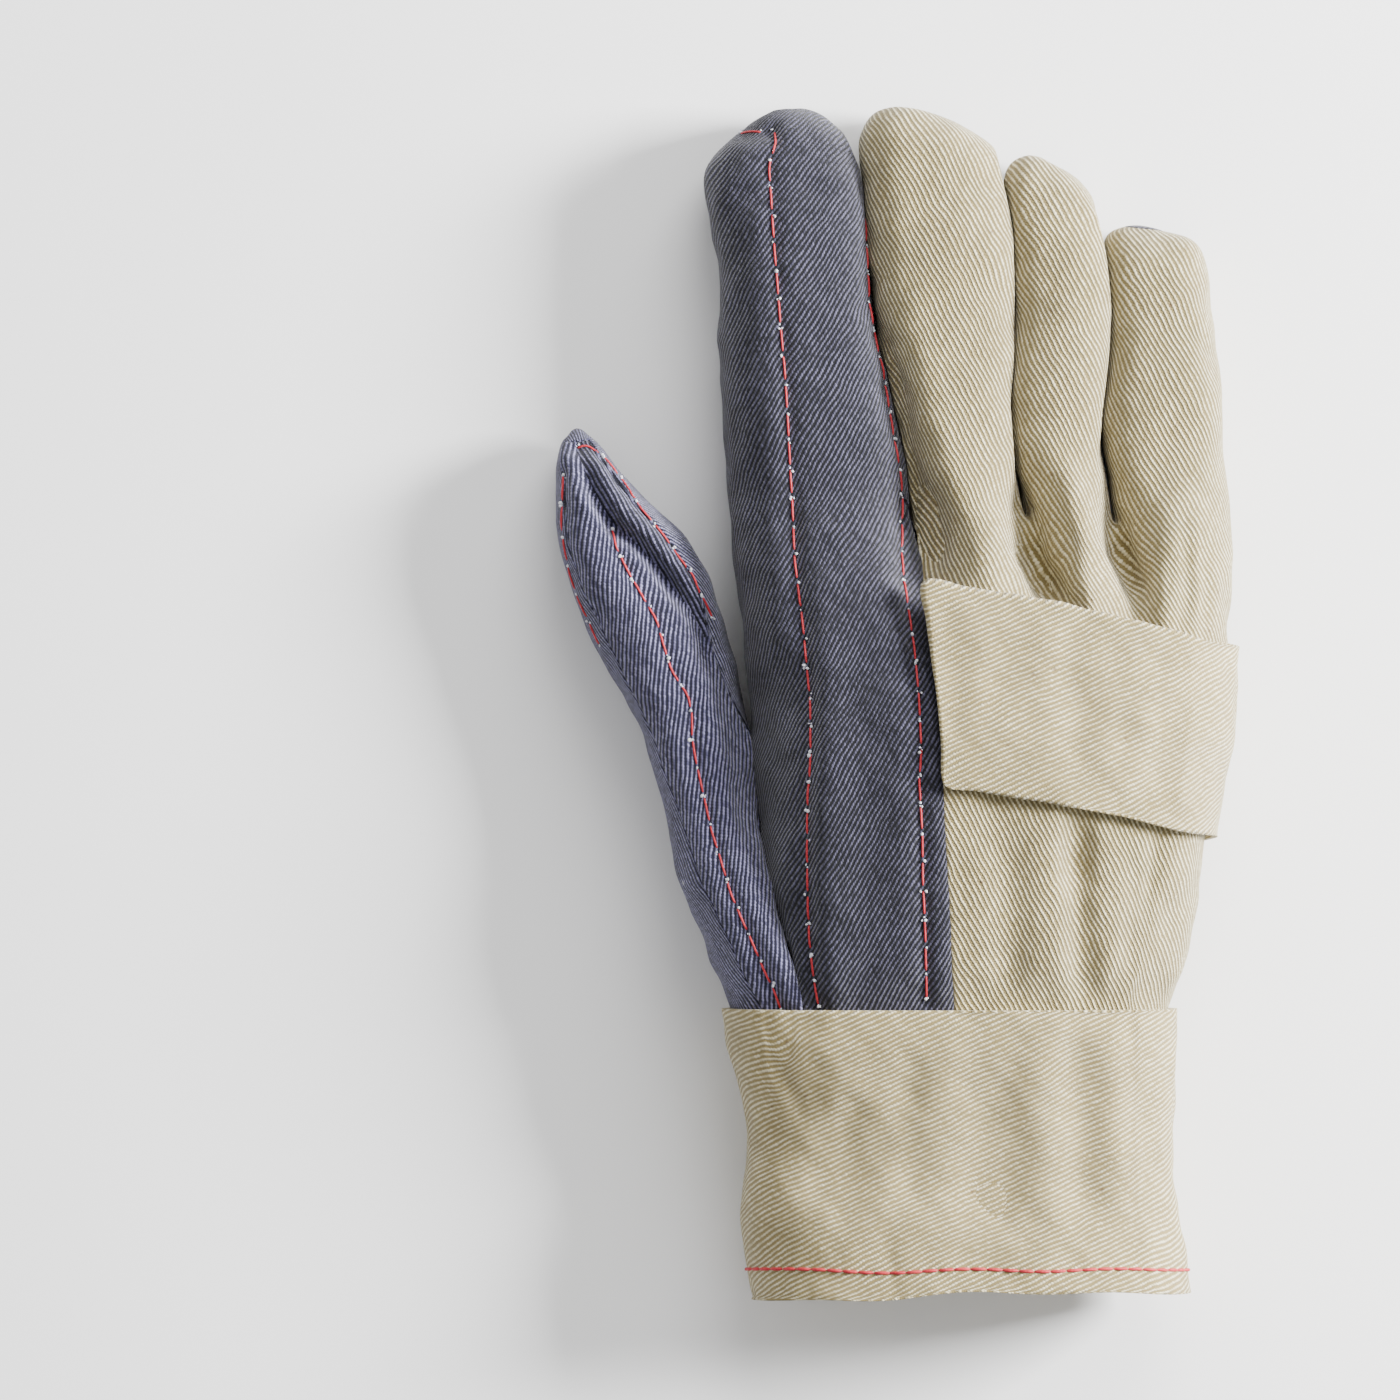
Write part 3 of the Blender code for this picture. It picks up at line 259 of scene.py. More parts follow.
def flat_pattern(points, triangles, start, rounds=60):
    """Lays a sewn panel flat with as little stretch as it can. Cloth that faces up or down keeps its direction on the
    plan, and the cloth between turns as it likes."""
    corner = points[triangles]
    run, other = corner[:, 1] - corner[:, 0], corner[:, 2] - corner[:, 0]
    facing = np.cross(run, other)
    facing /= np.linalg.norm(facing, axis=1, keepdims=True)
    level = np.abs(facing[:, 2]) > LEVEL_FACING
    plan_x = np.zeros_like(facing)
    plan_x[:, 0] = np.sign(facing[:, 2])
    plan_x -= (plan_x * facing).sum(1, keepdims=True) * facing
    across = np.where(level[:, None], plan_x, run)
    across /= np.linalg.norm(across, axis=1, keepdims=True)
    up = np.cross(facing, across)
    rest = np.zeros((len(triangles), 3, 2))
    for k, edge in ((1, run), (2, other)):
        rest[:, k, 0], rest[:, k, 1] = (edge * across).sum(1), (edge * up).sum(1)
    weights = np.zeros((len(triangles), 3))
    for k, i, j in CORNERS:
        a, b = rest[:, i] - rest[:, k], rest[:, j] - rest[:, k]
        cross = a[:, 0] * b[:, 1] - a[:, 1] * b[:, 0]
        weights[:, k] = np.clip((a * b).sum(1) / np.maximum(np.abs(cross), 1e-12), 0.05, 20)
    weights *= np.where(level, LEVEL_PULL, 1.0)[:, None]
    pull = np.zeros((len(points), len(points)))
    for k, i, j in CORNERS:
        for a, b, sign in ((i, i, 1), (j, j, 1), (i, j, -1), (j, i, -1)):
            np.add.at(pull, (triangles[:, a], triangles[:, b]), sign * weights[:, k])
    pull[np.diag_indices(len(points))] += 1e-9
    pull[0, 0] += 1.0
    solve = np.linalg.inv(pull)
    flat = start.copy()
    for _ in range(rounds):
        drive = np.zeros_like(flat)
        drive[0] += flat[0]
        spin = np.zeros((len(triangles), 2, 2))
        for k, i, j in CORNERS:
            now = flat[triangles[:, i]] - flat[triangles[:, j]]
            spin += weights[:, k, None, None] * now[:, :, None] * (rest[:, i] - rest[:, j])[:, None, :]
        angle = np.arctan2(spin[:, 1, 0] - spin[:, 0, 1], spin[:, 0, 0] + spin[:, 1, 1])
        angle[level] = 0.0
        c, s = np.cos(angle), np.sin(angle)
        for k, i, j in CORNERS:
            edge = rest[:, i] - rest[:, j]
            turned = np.stack([c * edge[:, 0] - s * edge[:, 1], s * edge[:, 0] + c * edge[:, 1]], 1)
            turned *= weights[:, k, None]
            np.add.at(drive, triangles[:, i], turned)
            np.add.at(drive, triangles[:, j], -turned)
        flat = solve @ drive
    return flat


def first_pattern(faces, order):
    """Blender's own unwrap of an open sheet, as a first guess, at the cloth's size."""
    mesh = bpy.data.meshes.new("pattern")
    sheet = bmesh.new()
    twin = {v: sheet.verts.new(v.co) for v in order}
    for face in faces:
        sheet.faces.new([twin[v] for v in face.verts])
    sheet.verts.index_update()
    sheet.to_mesh(mesh)
    sheet.free()
    mesh.uv_layers.new(name="UVMap")
    obj = new_object("pattern", mesh)
    for other in bpy.context.view_layer.objects:
        other.select_set(other == obj)
    bpy.context.view_layer.objects.active = obj
    bpy.ops.object.mode_set(mode="EDIT")
    bpy.ops.mesh.select_all(action="SELECT")
    bpy.ops.uv.unwrap(method="ANGLE_BASED", margin=0.0)
    bpy.ops.object.mode_set(mode="OBJECT")
    places = np.zeros((len(order), 2))
    flat_area = 0.0
    for polygon in mesh.polygons:
        ring = [mesh.uv_layers[0].data[i].uv.copy() for i in polygon.loop_indices]
        for i, uv in zip(polygon.loop_indices, ring):
            places[mesh.loops[i].vertex_index] = uv
        flat_area += abs(sum(a.x * b.y - b.x * a.y for a, b in zip(ring, ring[1:] + ring[:1]))) / 2
    bpy.data.objects.remove(obj)
    bpy.data.meshes.remove(mesh)
    return places * math.sqrt(sum(f.calc_area() for f in faces) / flat_area)


def panel_pattern(faces, order, place):
    """The flat places of a panel's vertices, turned so that what faces up lies as it does on the plan."""
    rows = []
    for face in faces:
        ring = [place[v] for v in face.verts]
        rows += [[ring[0], ring[k], ring[k + 1]] for k in range(1, len(ring) - 1)]
    points = np.array([v.co for v in order])
    start = first_pattern(faces, order)
    upward = np.array([max(v.normal.z, 0) ** 2 for v in order])[:, None]
    middle = (start * upward).sum(0) / upward.sum()
    plan = (points[:, :2] * upward).sum(0) / upward.sum()
    a, b = (start - middle) * upward, points[:, :2] - plan
    angle = math.atan2((a[:, 0] * b[:, 1] - a[:, 1] * b[:, 0]).sum(), (a * b).sum())
    c, s = math.cos(angle), math.sin(angle)
    return flat_pattern(points, np.array(rows), (start - middle) @ np.array([[c, s], [-s, c]]) + plan)


def cloth_cage(node, edge_crease):
    """A CAD node's cage of quads, with its outer skin marked, its rims creased and the cloth's own flat places."""
    bm = bmesh.new()
    bm.from_mesh(frame["nodes"][node].data)
    bmesh.ops.remove_doubles(bm, verts=bm.verts, dist=0.001 * MM)
    bmesh.ops.join_triangles(bm, faces=bm.faces, angle_face_threshold=QUAD_TURN, angle_shape_threshold=QUAD_TURN)
    if node == "cuff":
        drop_narrow(bm)
    skin = bm.faces.layers.int.new("skin")
    crease = bm.edges.layers.float.new("crease_edge")
    uv = bm.loops.layers.uv.new("UVMap")
    bm.normal_update()
    outer, inner = skins(bm)
    walls = slit_walls(bm) if node in ("palm_panel", "cuff") else set()
    outer, inner = [f for f in outer if f not in walls], [f for f in inner if f not in walls]
    for face in outer:
        face[skin] = 1
    for face in inner:
        face[skin] = 2
    for edge in bm.edges:
        if len({f[skin] for f in edge.link_faces}) > 1:
            edge[crease] = edge_crease
    order = list(dict.fromkeys(v for f in outer for v in f.verts))
    place = {v: i for i, v in enumerate(order)}
    flat = panel_pattern(outer, order, place)
    for face in bm.faces:
        for loop in face.loops:
            x, y, z = loop.vert.co
            if face[skin] == 1:
                loop[uv].uv = flat[place[loop.vert]]
            elif face[skin] == 2:
                loop[uv].uv = x, y
            else:
                loop[uv].uv = x + 0.9 * z, y + 0.9 * z
    if node in ("palm_panel", "cuff"):
        close_slit(bm, skin)
    if node == "palm_panel":
        carry_weave(bm, skin, uv)
    return bm


def close_slit(bm, skin):
    """Joins the two edges of a seam that lies inside one piece, so that only its thread and weave show it."""
    rims = [f for f in bm.faces if f[skin] == 0]
    edge_verts = list(dict.fromkeys(v for f in rims for v in f.verts))
    pairs = bmesh.ops.find_doubles(bm, verts=edge_verts, dist=SLIT_JOIN)["targetmap"]
    joined = {v for pair in pairs.items() for v in pair}
    walls = [f for f in rims if all(v in joined for v in f.verts)]
    bmesh.ops.delete(bm, geom=walls, context="FACES_ONLY")
    bmesh.ops.weld_verts(bm, targetmap={a: b for a, b in pairs.items() if a.is_valid and b.is_valid})
    flaps = [f for f in bm.faces if {1, 3} <= {len(e.link_faces) for e in f.edges}]
    bmesh.ops.delete(bm, geom=flaps, context="FACES_ONLY")
    bmesh.ops.delete(bm, geom=[e for e in bm.edges if not e.link_faces], context="EDGES")
    if any(len(e.link_faces) != 2 for e in bm.edges):
        raise RuntimeError("a closed seam left the cloth open")
    crease = bm.edges.layers.float["crease_edge"]
    for edge in bm.edges:
        if len(edge.link_faces) == 2 and edge.link_faces[0][skin] == edge.link_faces[1][skin] != 0:
            edge[crease] = 0.0


def carry_weave(bm, skin, uv):
    """Carries the weave of the index finger's back over a closed seam to the next row of faces, down its side."""
    seams = []
    for edge in bm.edges:
        faces = sorted(edge.link_faces, key=lambda f: -f.normal.z)
        if any(f[skin] != 1 for f in faces):
            continue
        flat = [{loop.vert: Vector(loop[uv].uv) for loop in f.loops} for f in faces]
        a, b = edge.verts
        if (flat[0][a] - flat[1][a]).length < 1 * MM or edge.calc_length() < 2 * MM:
            continue
        run, back = flat[0][b] - flat[0][a], sum(flat[0].values(), Vector((0, 0))) / len(flat[0])
        out = Vector((run.y, -run.x)).normalized()
        if out.dot(back - flat[0][a]) > 0:
            out = -out
        places = {v: flat[0][v] for v in edge.verts}
        seams.append((faces[1], places, (b.co - a.co).normalized(), run.normalized(), out))
    for side, places, along, run, out in seams:
        for loop in side.loops:
            if loop.vert in places:
                loop[uv].uv = places[loop.vert]
                continue
            near = min(places, key=lambda v: (v.co - loop.vert.co).length)
            away = loop.vert.co - near.co
            part = away.dot(along)
            loop[uv].uv = places[near] + run * part + out * math.sqrt(max(away.length_squared - part * part, 0))


def waves(places, length, seed):
    """Smooth random waves from -1 to 1 over places in space, about a length apart."""
    rng = np.random.default_rng(seed)
    total = np.zeros(len(places))
    for _ in range(14):
        way = rng.normal(size=places.shape[1])
        way *= 2 * math.pi / length / np.linalg.norm(way) * rng.uniform(0.6, 1.5)
        total += np.sin(places @ way + rng.uniform(0, 2 * math.pi))
    return total / math.sqrt(7) / 1.6


def smooth_step(low, high, value):
    t = np.clip((value - low) / (high - low), 0, 1)
    return t * t * (3 - 2 * t)


def near_line(plan, line):
    """Distance of each place to a line on the plan, how far along its nearest point lies, and the line's length."""
    best, along, start = np.full(len(plan), 1e9), np.zeros(len(plan)), 0.0
    for a, b in zip(line, line[1:]):
        run = b - a
        size = np.linalg.norm(run)
        t = np.clip(((plan - a) @ run) / size**2, 0, 1)
        gap = np.linalg.norm(plan - a - t[:, None] * run, axis=1)
        closer = gap < best
        best[closer], along[closer] = gap[closer], start + t[closer] * size
        start += size
    return best, along, start


def shown_from(side, normals):
    """1 where the cloth faces the side that a line shows on, fading to 0 where it turns away."""
    return smooth_step(0.05, 0.4, side * normals[:, 2])


def pressed(name, points, normals):
    """How far each point of a piece moves out along its normal: folds, sewn lines and soft unevenness."""
    my, plan, move = look(), points[:, :2], np.zeros(len(points))
    folds = [(side, *fold) for (piece, side), rows in FOLDS.items() if piece == name for fold in rows]
    for side, line, width, depth in folds:
        gap, along, total = near_line(plan, to_metres(line))
        t = gap / (width * MM)
        ends = smooth_step(-0.002, 0.012, along) * smooth_step(-0.002, 0.012, total - along)
        shape = np.exp(-t * t) - 0.35 * np.exp(-((t - 2.0) ** 2) / 0.8)
        move -= depth * MM * my.fold_strength * shape * ends * shown_from(side, normals)
    for side, line in [(side, line) for piece, side, rows in QUILTING if piece == name for line in rows]:
        gap, along, _ = near_line(plan, to_metres(line))
        stitch = 2 * math.pi * along / my.stitch_pitch
        needle = 0.5 + 0.5 * np.cos(stitch)
        dip = np.exp(-((gap / DIP_WIDTH) ** 2)) * (0.75 + 0.45 * needle**2)
        swell = np.exp(-(((gap - SWELL_PLACE) / SWELL_WIDTH) ** 2))
        pucker = np.exp(-((gap / PUCKER_WIDTH) ** 2)) * np.cos(stitch + 1.2 * np.sin(along / PUCKER_DRIFT))
        move += my.seam_dip * shown_from(side, normals) * (-dip + 0.35 * swell + 0.10 * pucker)
    band = 1.5 if name in ("cuff_cloth", "strap_cloth") else 1.0
    for share, size, seed in ((band, 30, 3), (0.5, 13, 5), (0.22, 6.5, 8)):
        move += my.unevenness * share * waves(points, size * MM, seed)
    if name in ("back_cloth", "cuff_cloth", "strap_cloth"):
        creased = np.exp(-((waves(points, 42 * MM, 21) / 0.2) ** 2))
        creased *= smooth_step(-0.4, 0.8, waves(points, 50 * MM, 22))
        move -= my.crease_depth * creased
    return move


def closed_gaps(points):
    """Brings the fingers' sides together along the lines where they touch."""
    plan = points[:, :2].copy()
    for line, most in FINGER_GAPS:
        line = to_metres(line)
        gap, along, total = near_line(plan, line)
        middle = np.interp(-plan[:, 1], -line[:, 1], line[:, 0])
        side = np.sign(plan[:, 0] - middle)
        pull = np.minimum(np.maximum(gap - 0.1 * MM, 0), most * MM * np.exp(-((gap / 0.004) ** 2)))
        pull *= smooth_step(0.0, 0.006, along) * smooth_step(0.002, 0.016, total - along)
        plan[:, 0] -= side * pull
    points[:, :2] = plan


def hem_shift(x):
    """How far the hem wanders along the cuff."""
    return 0.6 * MM * np.sin((x + 0.012) / 0.0125) + 0.4 * MM * np.sin(x / 0.0054 + 1.0)


def read(items, name, width=3):
    values = np.zeros(len(items) * width)
    items.foreach_get(name, values)
    return values.reshape(-1, width)


def hold_shape(obj, cage):
    """Moves the cage out until the rounded cloth passes through the places that the cage had."""
    wanted = read(cage.vertices, "co")
    held = wanted.copy()
    for _ in range(2):
        bpy.context.view_layer.update()
        rounded = evaluated(obj).to_mesh()
        held += 0.8 * (wanted - read(rounded.vertices, "co")[: len(wanted)])
        cage.vertices.foreach_set("co", held.ravel())
        cage.update()


def soften(mesh):
    """Eases the cloth around the ends of the finger gaps, where it runs on into folds."""
    bm = bmesh.new()
    bm.from_mesh(mesh)
    spots = to_metres(CROTCHES)
    near = [v for v in bm.verts if v.co.z > 0.008 and min(np.hypot(*(spots - v.co.xy).T)) < CROTCH_REACH]
    for _ in range(14):
        bmesh.ops.smooth_vert(bm, verts=near, factor=0.5, use_axis_x=True, use_axis_y=True, use_axis_z=True)
    bm.to_mesh(mesh)
    bm.free()


def cloth_piece(name, node, edge_crease, material):
    """The finished cloth of one CAD node: its cage rounded off, then folded and sewn in."""
    bm = cloth_cage(node, edge_crease)
    cut = [f for f in bm.faces if f[bm.faces.layers.int["skin"]] == 1]
    area = sum(f.calc_area() for f in cut)
    cage = bpy.data.meshes.new(name)
    bm.to_mesh(cage)
    bm.free()
    obj = new_object(name, cage)
    rounded = obj.modifiers.new("Round", "SUBSURF")
    rounded.levels = rounded.render_levels = look().subdivision
    hold_shape(obj, cage)
    mesh = bpy.data.meshes.new_from_object(evaluated(obj))
    obj.modifiers.clear()
    obj.data = mesh
    bpy.data.meshes.remove(cage)
    mesh.name = name
    points, normals = read(mesh.vertices, "co"), read(mesh.vertex_normals, "vector")
    outer = np.zeros(len(mesh.vertices))
    for polygon, skin in zip(mesh.polygons, mesh.attributes["skin"].data):
        if skin.value == 1:
            outer[list(polygon.vertices)] = 1
    points = points + normals * (pressed(name, points, normals) * outer)[:, None]
    closed_gaps(points)
    points[:, 1] += hem_shift(points[:, 0]) * smooth_step(-0.098, -0.116, points[:, 1])
    points[:, 2] = np.maximum(points[:, 2], 0.0)
    mesh.vertices.foreach_set("co", points.ravel())
    if name == "back_cloth":
        soften(mesh)
    mesh.shade_smooth()
    mesh.update()
    mesh.materials.clear()
    mesh.materials.append(material)
    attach(obj, "root")
    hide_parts(node)
    return obj


# Thread and lint


def tree_of(*names):
    """The surface of one or more pieces, for placing things on it."""
    points, faces = [], []
    for name in names:
        mesh = bpy.data.objects[name].data
        start = len(points)
        points += [v.co.copy() for v in mesh.vertices]
        faces += [[start + i for i in p.vertices] for p in mesh.polygons]
    return BVHTree.FromPolygons(points, faces)


def along_line(line, distance):
    """The place at a distance along a line on the plan."""
    for a, b in zip(line, line[1:]):
        size = float(np.linalg.norm(b - a))
        if distance <= size:
            return a + (b - a) * distance / size
        distance -= size
    return line[-1]


def on_cloth(tree, place, side):
    """The point and normal of the cloth above or below a place on the plan."""
    point, normal, _, _ = tree.ray_cast(Vector((*place, 0.2 * side)), Vector((0, 0, -side)))
    return None if point is None else (point, normal)


def sew(curve, tree, line, side, my):
    """Adds a line of stitches to a curve and returns its needle holes."""
    total = float(np.linalg.norm(np.diff(line, axis=0), axis=1).sum())
    holes, radius = [], my.thread_diameter / 2
    shares, lifts = (0, 0.06, 0.25, 0.5, 0.75, 0.94, 1), (-1.6, 0.1, 0.55, 0.65, 0.55, 0.1, -1.6)
    count = max(1, round(total / my.stitch_pitch))
    pitch = total / count
    for k in range(count):
        start = k * pitch
        length = pitch * my.stitch_share
        spots = [on_cloth(tree, along_line(line, start + length * t), side) for t in shares]
        if None in spots:
            continue
        points = [p + n * radius * lift for (p, n), lift in zip(spots, lifts)]
        for point in points:
            point.z = max(point.z, radius)
        add_thread(curve, points, [0.75, 0.95, 1, 1, 1, 0.95, 0.75])
        holes.append(spots[0])
        if k == count - 1:
            holes.append(spots[-1])
    return holes


def add_thread(curve, points, sizes):
    spline = curve.splines.new("NURBS")
    spline.points.add(len(points) - 1)
    for target, point, size in zip(spline.points, points, sizes):
        target.co = (*point, 1)
        target.radius = size
    spline.order_u = 3
    spline.use_endpoint_u = True
    spline.resolution_u = 2


def new_thread(name, diameter):
    curve = bpy.data.curves.new(name, "CURVE")
    curve.dimensions = "3D"
    curve.bevel_depth = diameter / 2
    curve.bevel_resolution = 1
    curve.use_fill_caps = True
    return curve


def finish_piece(name, mesh, material):
    mesh.shade_smooth()
    mesh.materials.clear()
    mesh.materials.append(material)
    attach(new_object(name, mesh), "root")


def thread_piece(name, curve, material):
    """Turns a curve of stitches into a finished mesh piece."""
    drawn = new_object(name + "_drawn", curve)
    mesh = bpy.data.meshes.new_from_object(evaluated(drawn))
    bpy.data.objects.remove(drawn)
    bpy.data.curves.remove(curve)
    mesh.name = name
    finish_piece(name, mesh, material)


def lint_piece(name, holes, material, my):
    """Small tufts of lint that the needle pulled out, one or two at each hole."""
    rng = np.random.default_rng(11)
    bm = bmesh.new()
    for point, normal in holes:
        for _ in range(rng.integers(1, 4)):
            size = my.lint_size * rng.uniform(0.35, 1.0)
            turn = Matrix.Rotation(rng.uniform(0, 6.3), 4, Vector(rng.normal(size=3)).normalized())
            stretch = Matrix.Diagonal((*rng.uniform(0.6, 1.3, 3), 1))
            aside = Vector(rng.normal(size=3)) * my.lint_size * 0.35
            spot = point + aside - normal * aside.dot(normal) + normal * size * 0.25
            spot.z = max(spot.z, size * 0.65)
            place = Matrix.Translation(spot)
            bmesh.ops.create_icosphere(bm, subdivisions=1, radius=size / 2, matrix=place @ turn @ stretch)
    mesh = bpy.data.meshes.new(name)
    bm.to_mesh(mesh)
    bm.free()
    finish_piece(name, mesh, material)


# Materials


class Wiring:
    """Adds nodes to a tree and joins them."""

    def __init__(self, tree):
        self.tree = tree

    def node(self, kind, links=(), **settings):
        made = self.tree.nodes.new(kind)
        for key, value in settings.items():
            setattr(made, key, value)
        for name, value in dict(links).items():
            self.set(made.inputs[name], value)
        return made

    def set(self, socket, value):
        if isinstance(value, bpy.types.NodeSocket):
            self.tree.links.new(value, socket)
        else:
            socket.default_value = value

    def filled(self, kind, *values, **settings):
        """The first output of a new node whose inputs take these values in their order."""
        made = self.node(kind, **settings)
        for socket, value in zip(made.inputs, values):
            self.set(socket, value)
        return made.outputs[0]

    def math(self, operation, a, b=0.0, c=0.0, clamp=False):
        return self.filled("ShaderNodeMath", a, b, c, operation=operation, use_clamp=clamp)

    def plus(self, a, b):
        return self.math("ADD", a, b)

    def minus(self, a, b, clamp=False):
        return self.math("SUBTRACT", a, b, clamp=clamp)

    def times(self, a, b):
        return self.math("MULTIPLY", a, b)

    def bump(self, shader, strength, distance, height):
        made = self.node("ShaderNodeBump", {"Strength": strength, "Distance": distance, "Height": height})
        self.set(shader.inputs["Normal"], made.outputs[0])

    def blend(self, share, a, b, mode="MIX"):
        made = self.node("ShaderNodeMix", data_type="RGBA", blend_type=mode)
        for k, value in ((0, share), (6, a), (7, b)):
            self.set(made.inputs[k], value)
        return made.outputs[2]

    def noise(self, vector, scale, detail=2.0, roughness=0.5):
        links = {"Vector": vector, "Scale": scale, "Detail": detail, "Roughness": roughness}
        return self.node("ShaderNodeTexNoise", links)

    def vector(self, x, y, z=0.0):
        return self.filled("ShaderNodeCombineXYZ", x, y, z)

    def range(self, value, low, high, new_low, new_high):
        return self.filled("ShaderNodeMapRange", value, low, high, new_low, new_high)


def new_group(name, inputs, outputs):
    """A node group that takes a place and numbers, and gives numbers."""
    group = bpy.data.node_groups.new(name, "ShaderNodeTree")
    group.interface.new_socket("Place", in_out="INPUT", socket_type="NodeSocketVector")
    for label, default in inputs.items():
        socket = group.interface.new_socket(label, in_out="INPUT", socket_type="NodeSocketFloat")
        socket.default_value = default
    for label in outputs:
        group.interface.new_socket(label, in_out="OUTPUT", socket_type="NodeSocketFloat")
    wires = Wiring(group)
    return group, wires, wires.node("NodeGroupInput"), wires.node("NodeGroupOutput")


def twill_group():
    """Twill woven of single yarns: each warp yarn floats over all but one of the wefts in a repeat, one step further
    along on each yarn. Places are in millimetres of cloth."""
    group, w, given, out = new_group(
        "Twill weave",
        {"Warp Pitch": 0.55, "Weft Pitch": 0.45, "Repeat": 3, "Float Share": 0.68, "Lean": 1},
        ("Height", "Float", "Yarn", "Fibre"),
    )
    place, lean, repeat, share = (given.outputs[label] for label in ("Place", "Lean", "Repeat", "Float Share"))
    parts = w.node("ShaderNodeSeparateXYZ", {"Vector": place})
    drift, jitter = (
        w.node("ShaderNodeSeparateColor", {"Color": w.noise(place, *noise).outputs["Color"]})
        for noise in ((0.10, 2.0), (0.8, 1.0))
    )

    def in_yarns(axis, pitch):
        """Places along an axis, counted in yarns that lie a little unevenly."""
        coarse, fine = w.minus(drift.outputs[axis], 0.5), w.minus(jitter.outputs[axis], 0.5)
        shift = w.plus(w.times(coarse, 1.5), w.times(fine, 0.22))
        return w.math("DIVIDE", w.plus(shift, parts.outputs[axis]), given.outputs[pitch])

    x, y = in_yarns(0, "Warp Pitch"), in_yarns(1, "Weft Pitch")
    yarn = w.math("FLOOR", x)
    side = w.minus(w.math("FRACT", x), 0.5)
    stepped = w.math("DIVIDE", w.math("MULTIPLY_ADD", yarn, lean, y), repeat)
    number = w.math("FLOOR", stepped)
    centred = w.minus(w.math("DIVIDE", w.times(w.math("FRACT", stepped), 2.0), share), 1.0)
    arch = w.minus(1.0, w.math("POWER", w.math("ABSOLUTE", centred), 2.0), clamp=True)
    round_side = w.minus(1.0, w.times(w.times(side, side), 1.5), clamp=True)
    warp = w.times(w.math("SQRT", arch), w.math("POWER", round_side, 0.7))
    weft_side = w.minus(w.math("FRACT", y), 0.5)
    weft = w.times(w.minus(1.0, w.times(w.times(weft_side, weft_side), 3.6), clamp=True), 0.16)
    chances = w.node("ShaderNodeTexWhiteNoise", {"Vector": w.vector(yarn, number)}, noise_dimensions="2D")
    chance = chances.outputs["Value"]
    slub = w.noise(w.vector(w.times(yarn, 3.7), w.times(y, 0.10)), 1.0, 1.0).outputs[0]
    fibre = w.noise(w.vector(w.times(x, 3.4), w.times(y, 1.2)), 1.0, 2.0, 0.7).outputs[0]
    across = w.math("DIVIDE", w.math("MULTIPLY_ADD", x, lean, y), repeat)
    top = w.plus(w.math("DIVIDE", w.times(lean, 0.5), repeat), w.times(share, 0.5))
    ridge = w.math("MULTIPLY_ADD", w.math("COSINE", w.times(w.minus(across, top), 2 * math.pi)), 0.5, 0.5)
    bead = w.math("MULTIPLY_ADD", warp, 0.78, 0.28)
    full = w.times(w.math("POWER", ridge, 0.8), bead)
    full = w.times(full, w.range(slub, 0.25, 0.75, 0.80, 1.12))
    full = w.times(full, w.range(chance, 0, 1, 0.80, 1.10))
    height = w.plus(w.math("MAXIMUM", full, weft), w.times(w.minus(fibre, 0.5), 0.22))
    mixed = w.plus(w.times(chance, 0.5), w.times(slub, 0.5))
    for label, value in (("Height", height), ("Float", full), ("Yarn", mixed), ("Fibre", fibre)):
        w.set(out.inputs[label], value)
    return group


def wear_group():
    """Large soft patches, streaks along the yarns and small dark seed specks, over places in millimetres."""
    inputs = {"Speck Size": 0.28, "Speck Share": 0.05}
    group, w, given, out = new_group("Cloth variation", inputs, ("Patch", "Streak", "Speck"))
    place = given.outputs["Place"]
    patch = w.noise(place, 0.07, 3.0, 0.6).outputs[0]
    stretch = w.node("ShaderNodeMapping", {"Vector": place, "Scale": (0.9, 0.045, 1.0)}).outputs[0]
    streak = w.noise(stretch, 1.0, 3.0, 0.6).outputs[0]
    spots = w.node("ShaderNodeTexVoronoi", {"Vector": place, "Scale": 0.3, "Randomness": 1.0})
    near = w.range(spots.outputs["Distance"], given.outputs["Speck Size"], 0.0, 0.0, 1.0)
    pick = w.node("ShaderNodeSeparateColor", {"Color": spots.outputs["Color"]}).outputs[0]
    rare = w.math("LESS_THAN", pick, given.outputs["Speck Share"])
    for label, value in (("Patch", patch), ("Streak", streak), ("Speck", w.times(near, rare))):
        w.set(out.inputs[label], value)
    return group


def group_named(name, make):
    return bpy.data.node_groups.get(name) or make()


def new_material(name):
    material = bpy.data.materials.new(name)
    material.use_nodes = True
    material.node_tree.nodes.clear()
    w = Wiring(material.node_tree)
    shader = w.node("ShaderNodeBsdfPrincipled")
    out = w.node("ShaderNodeOutputMaterial")
    w.set(out.inputs["Surface"], shader.outputs["BSDF"])
    return material, w, shader


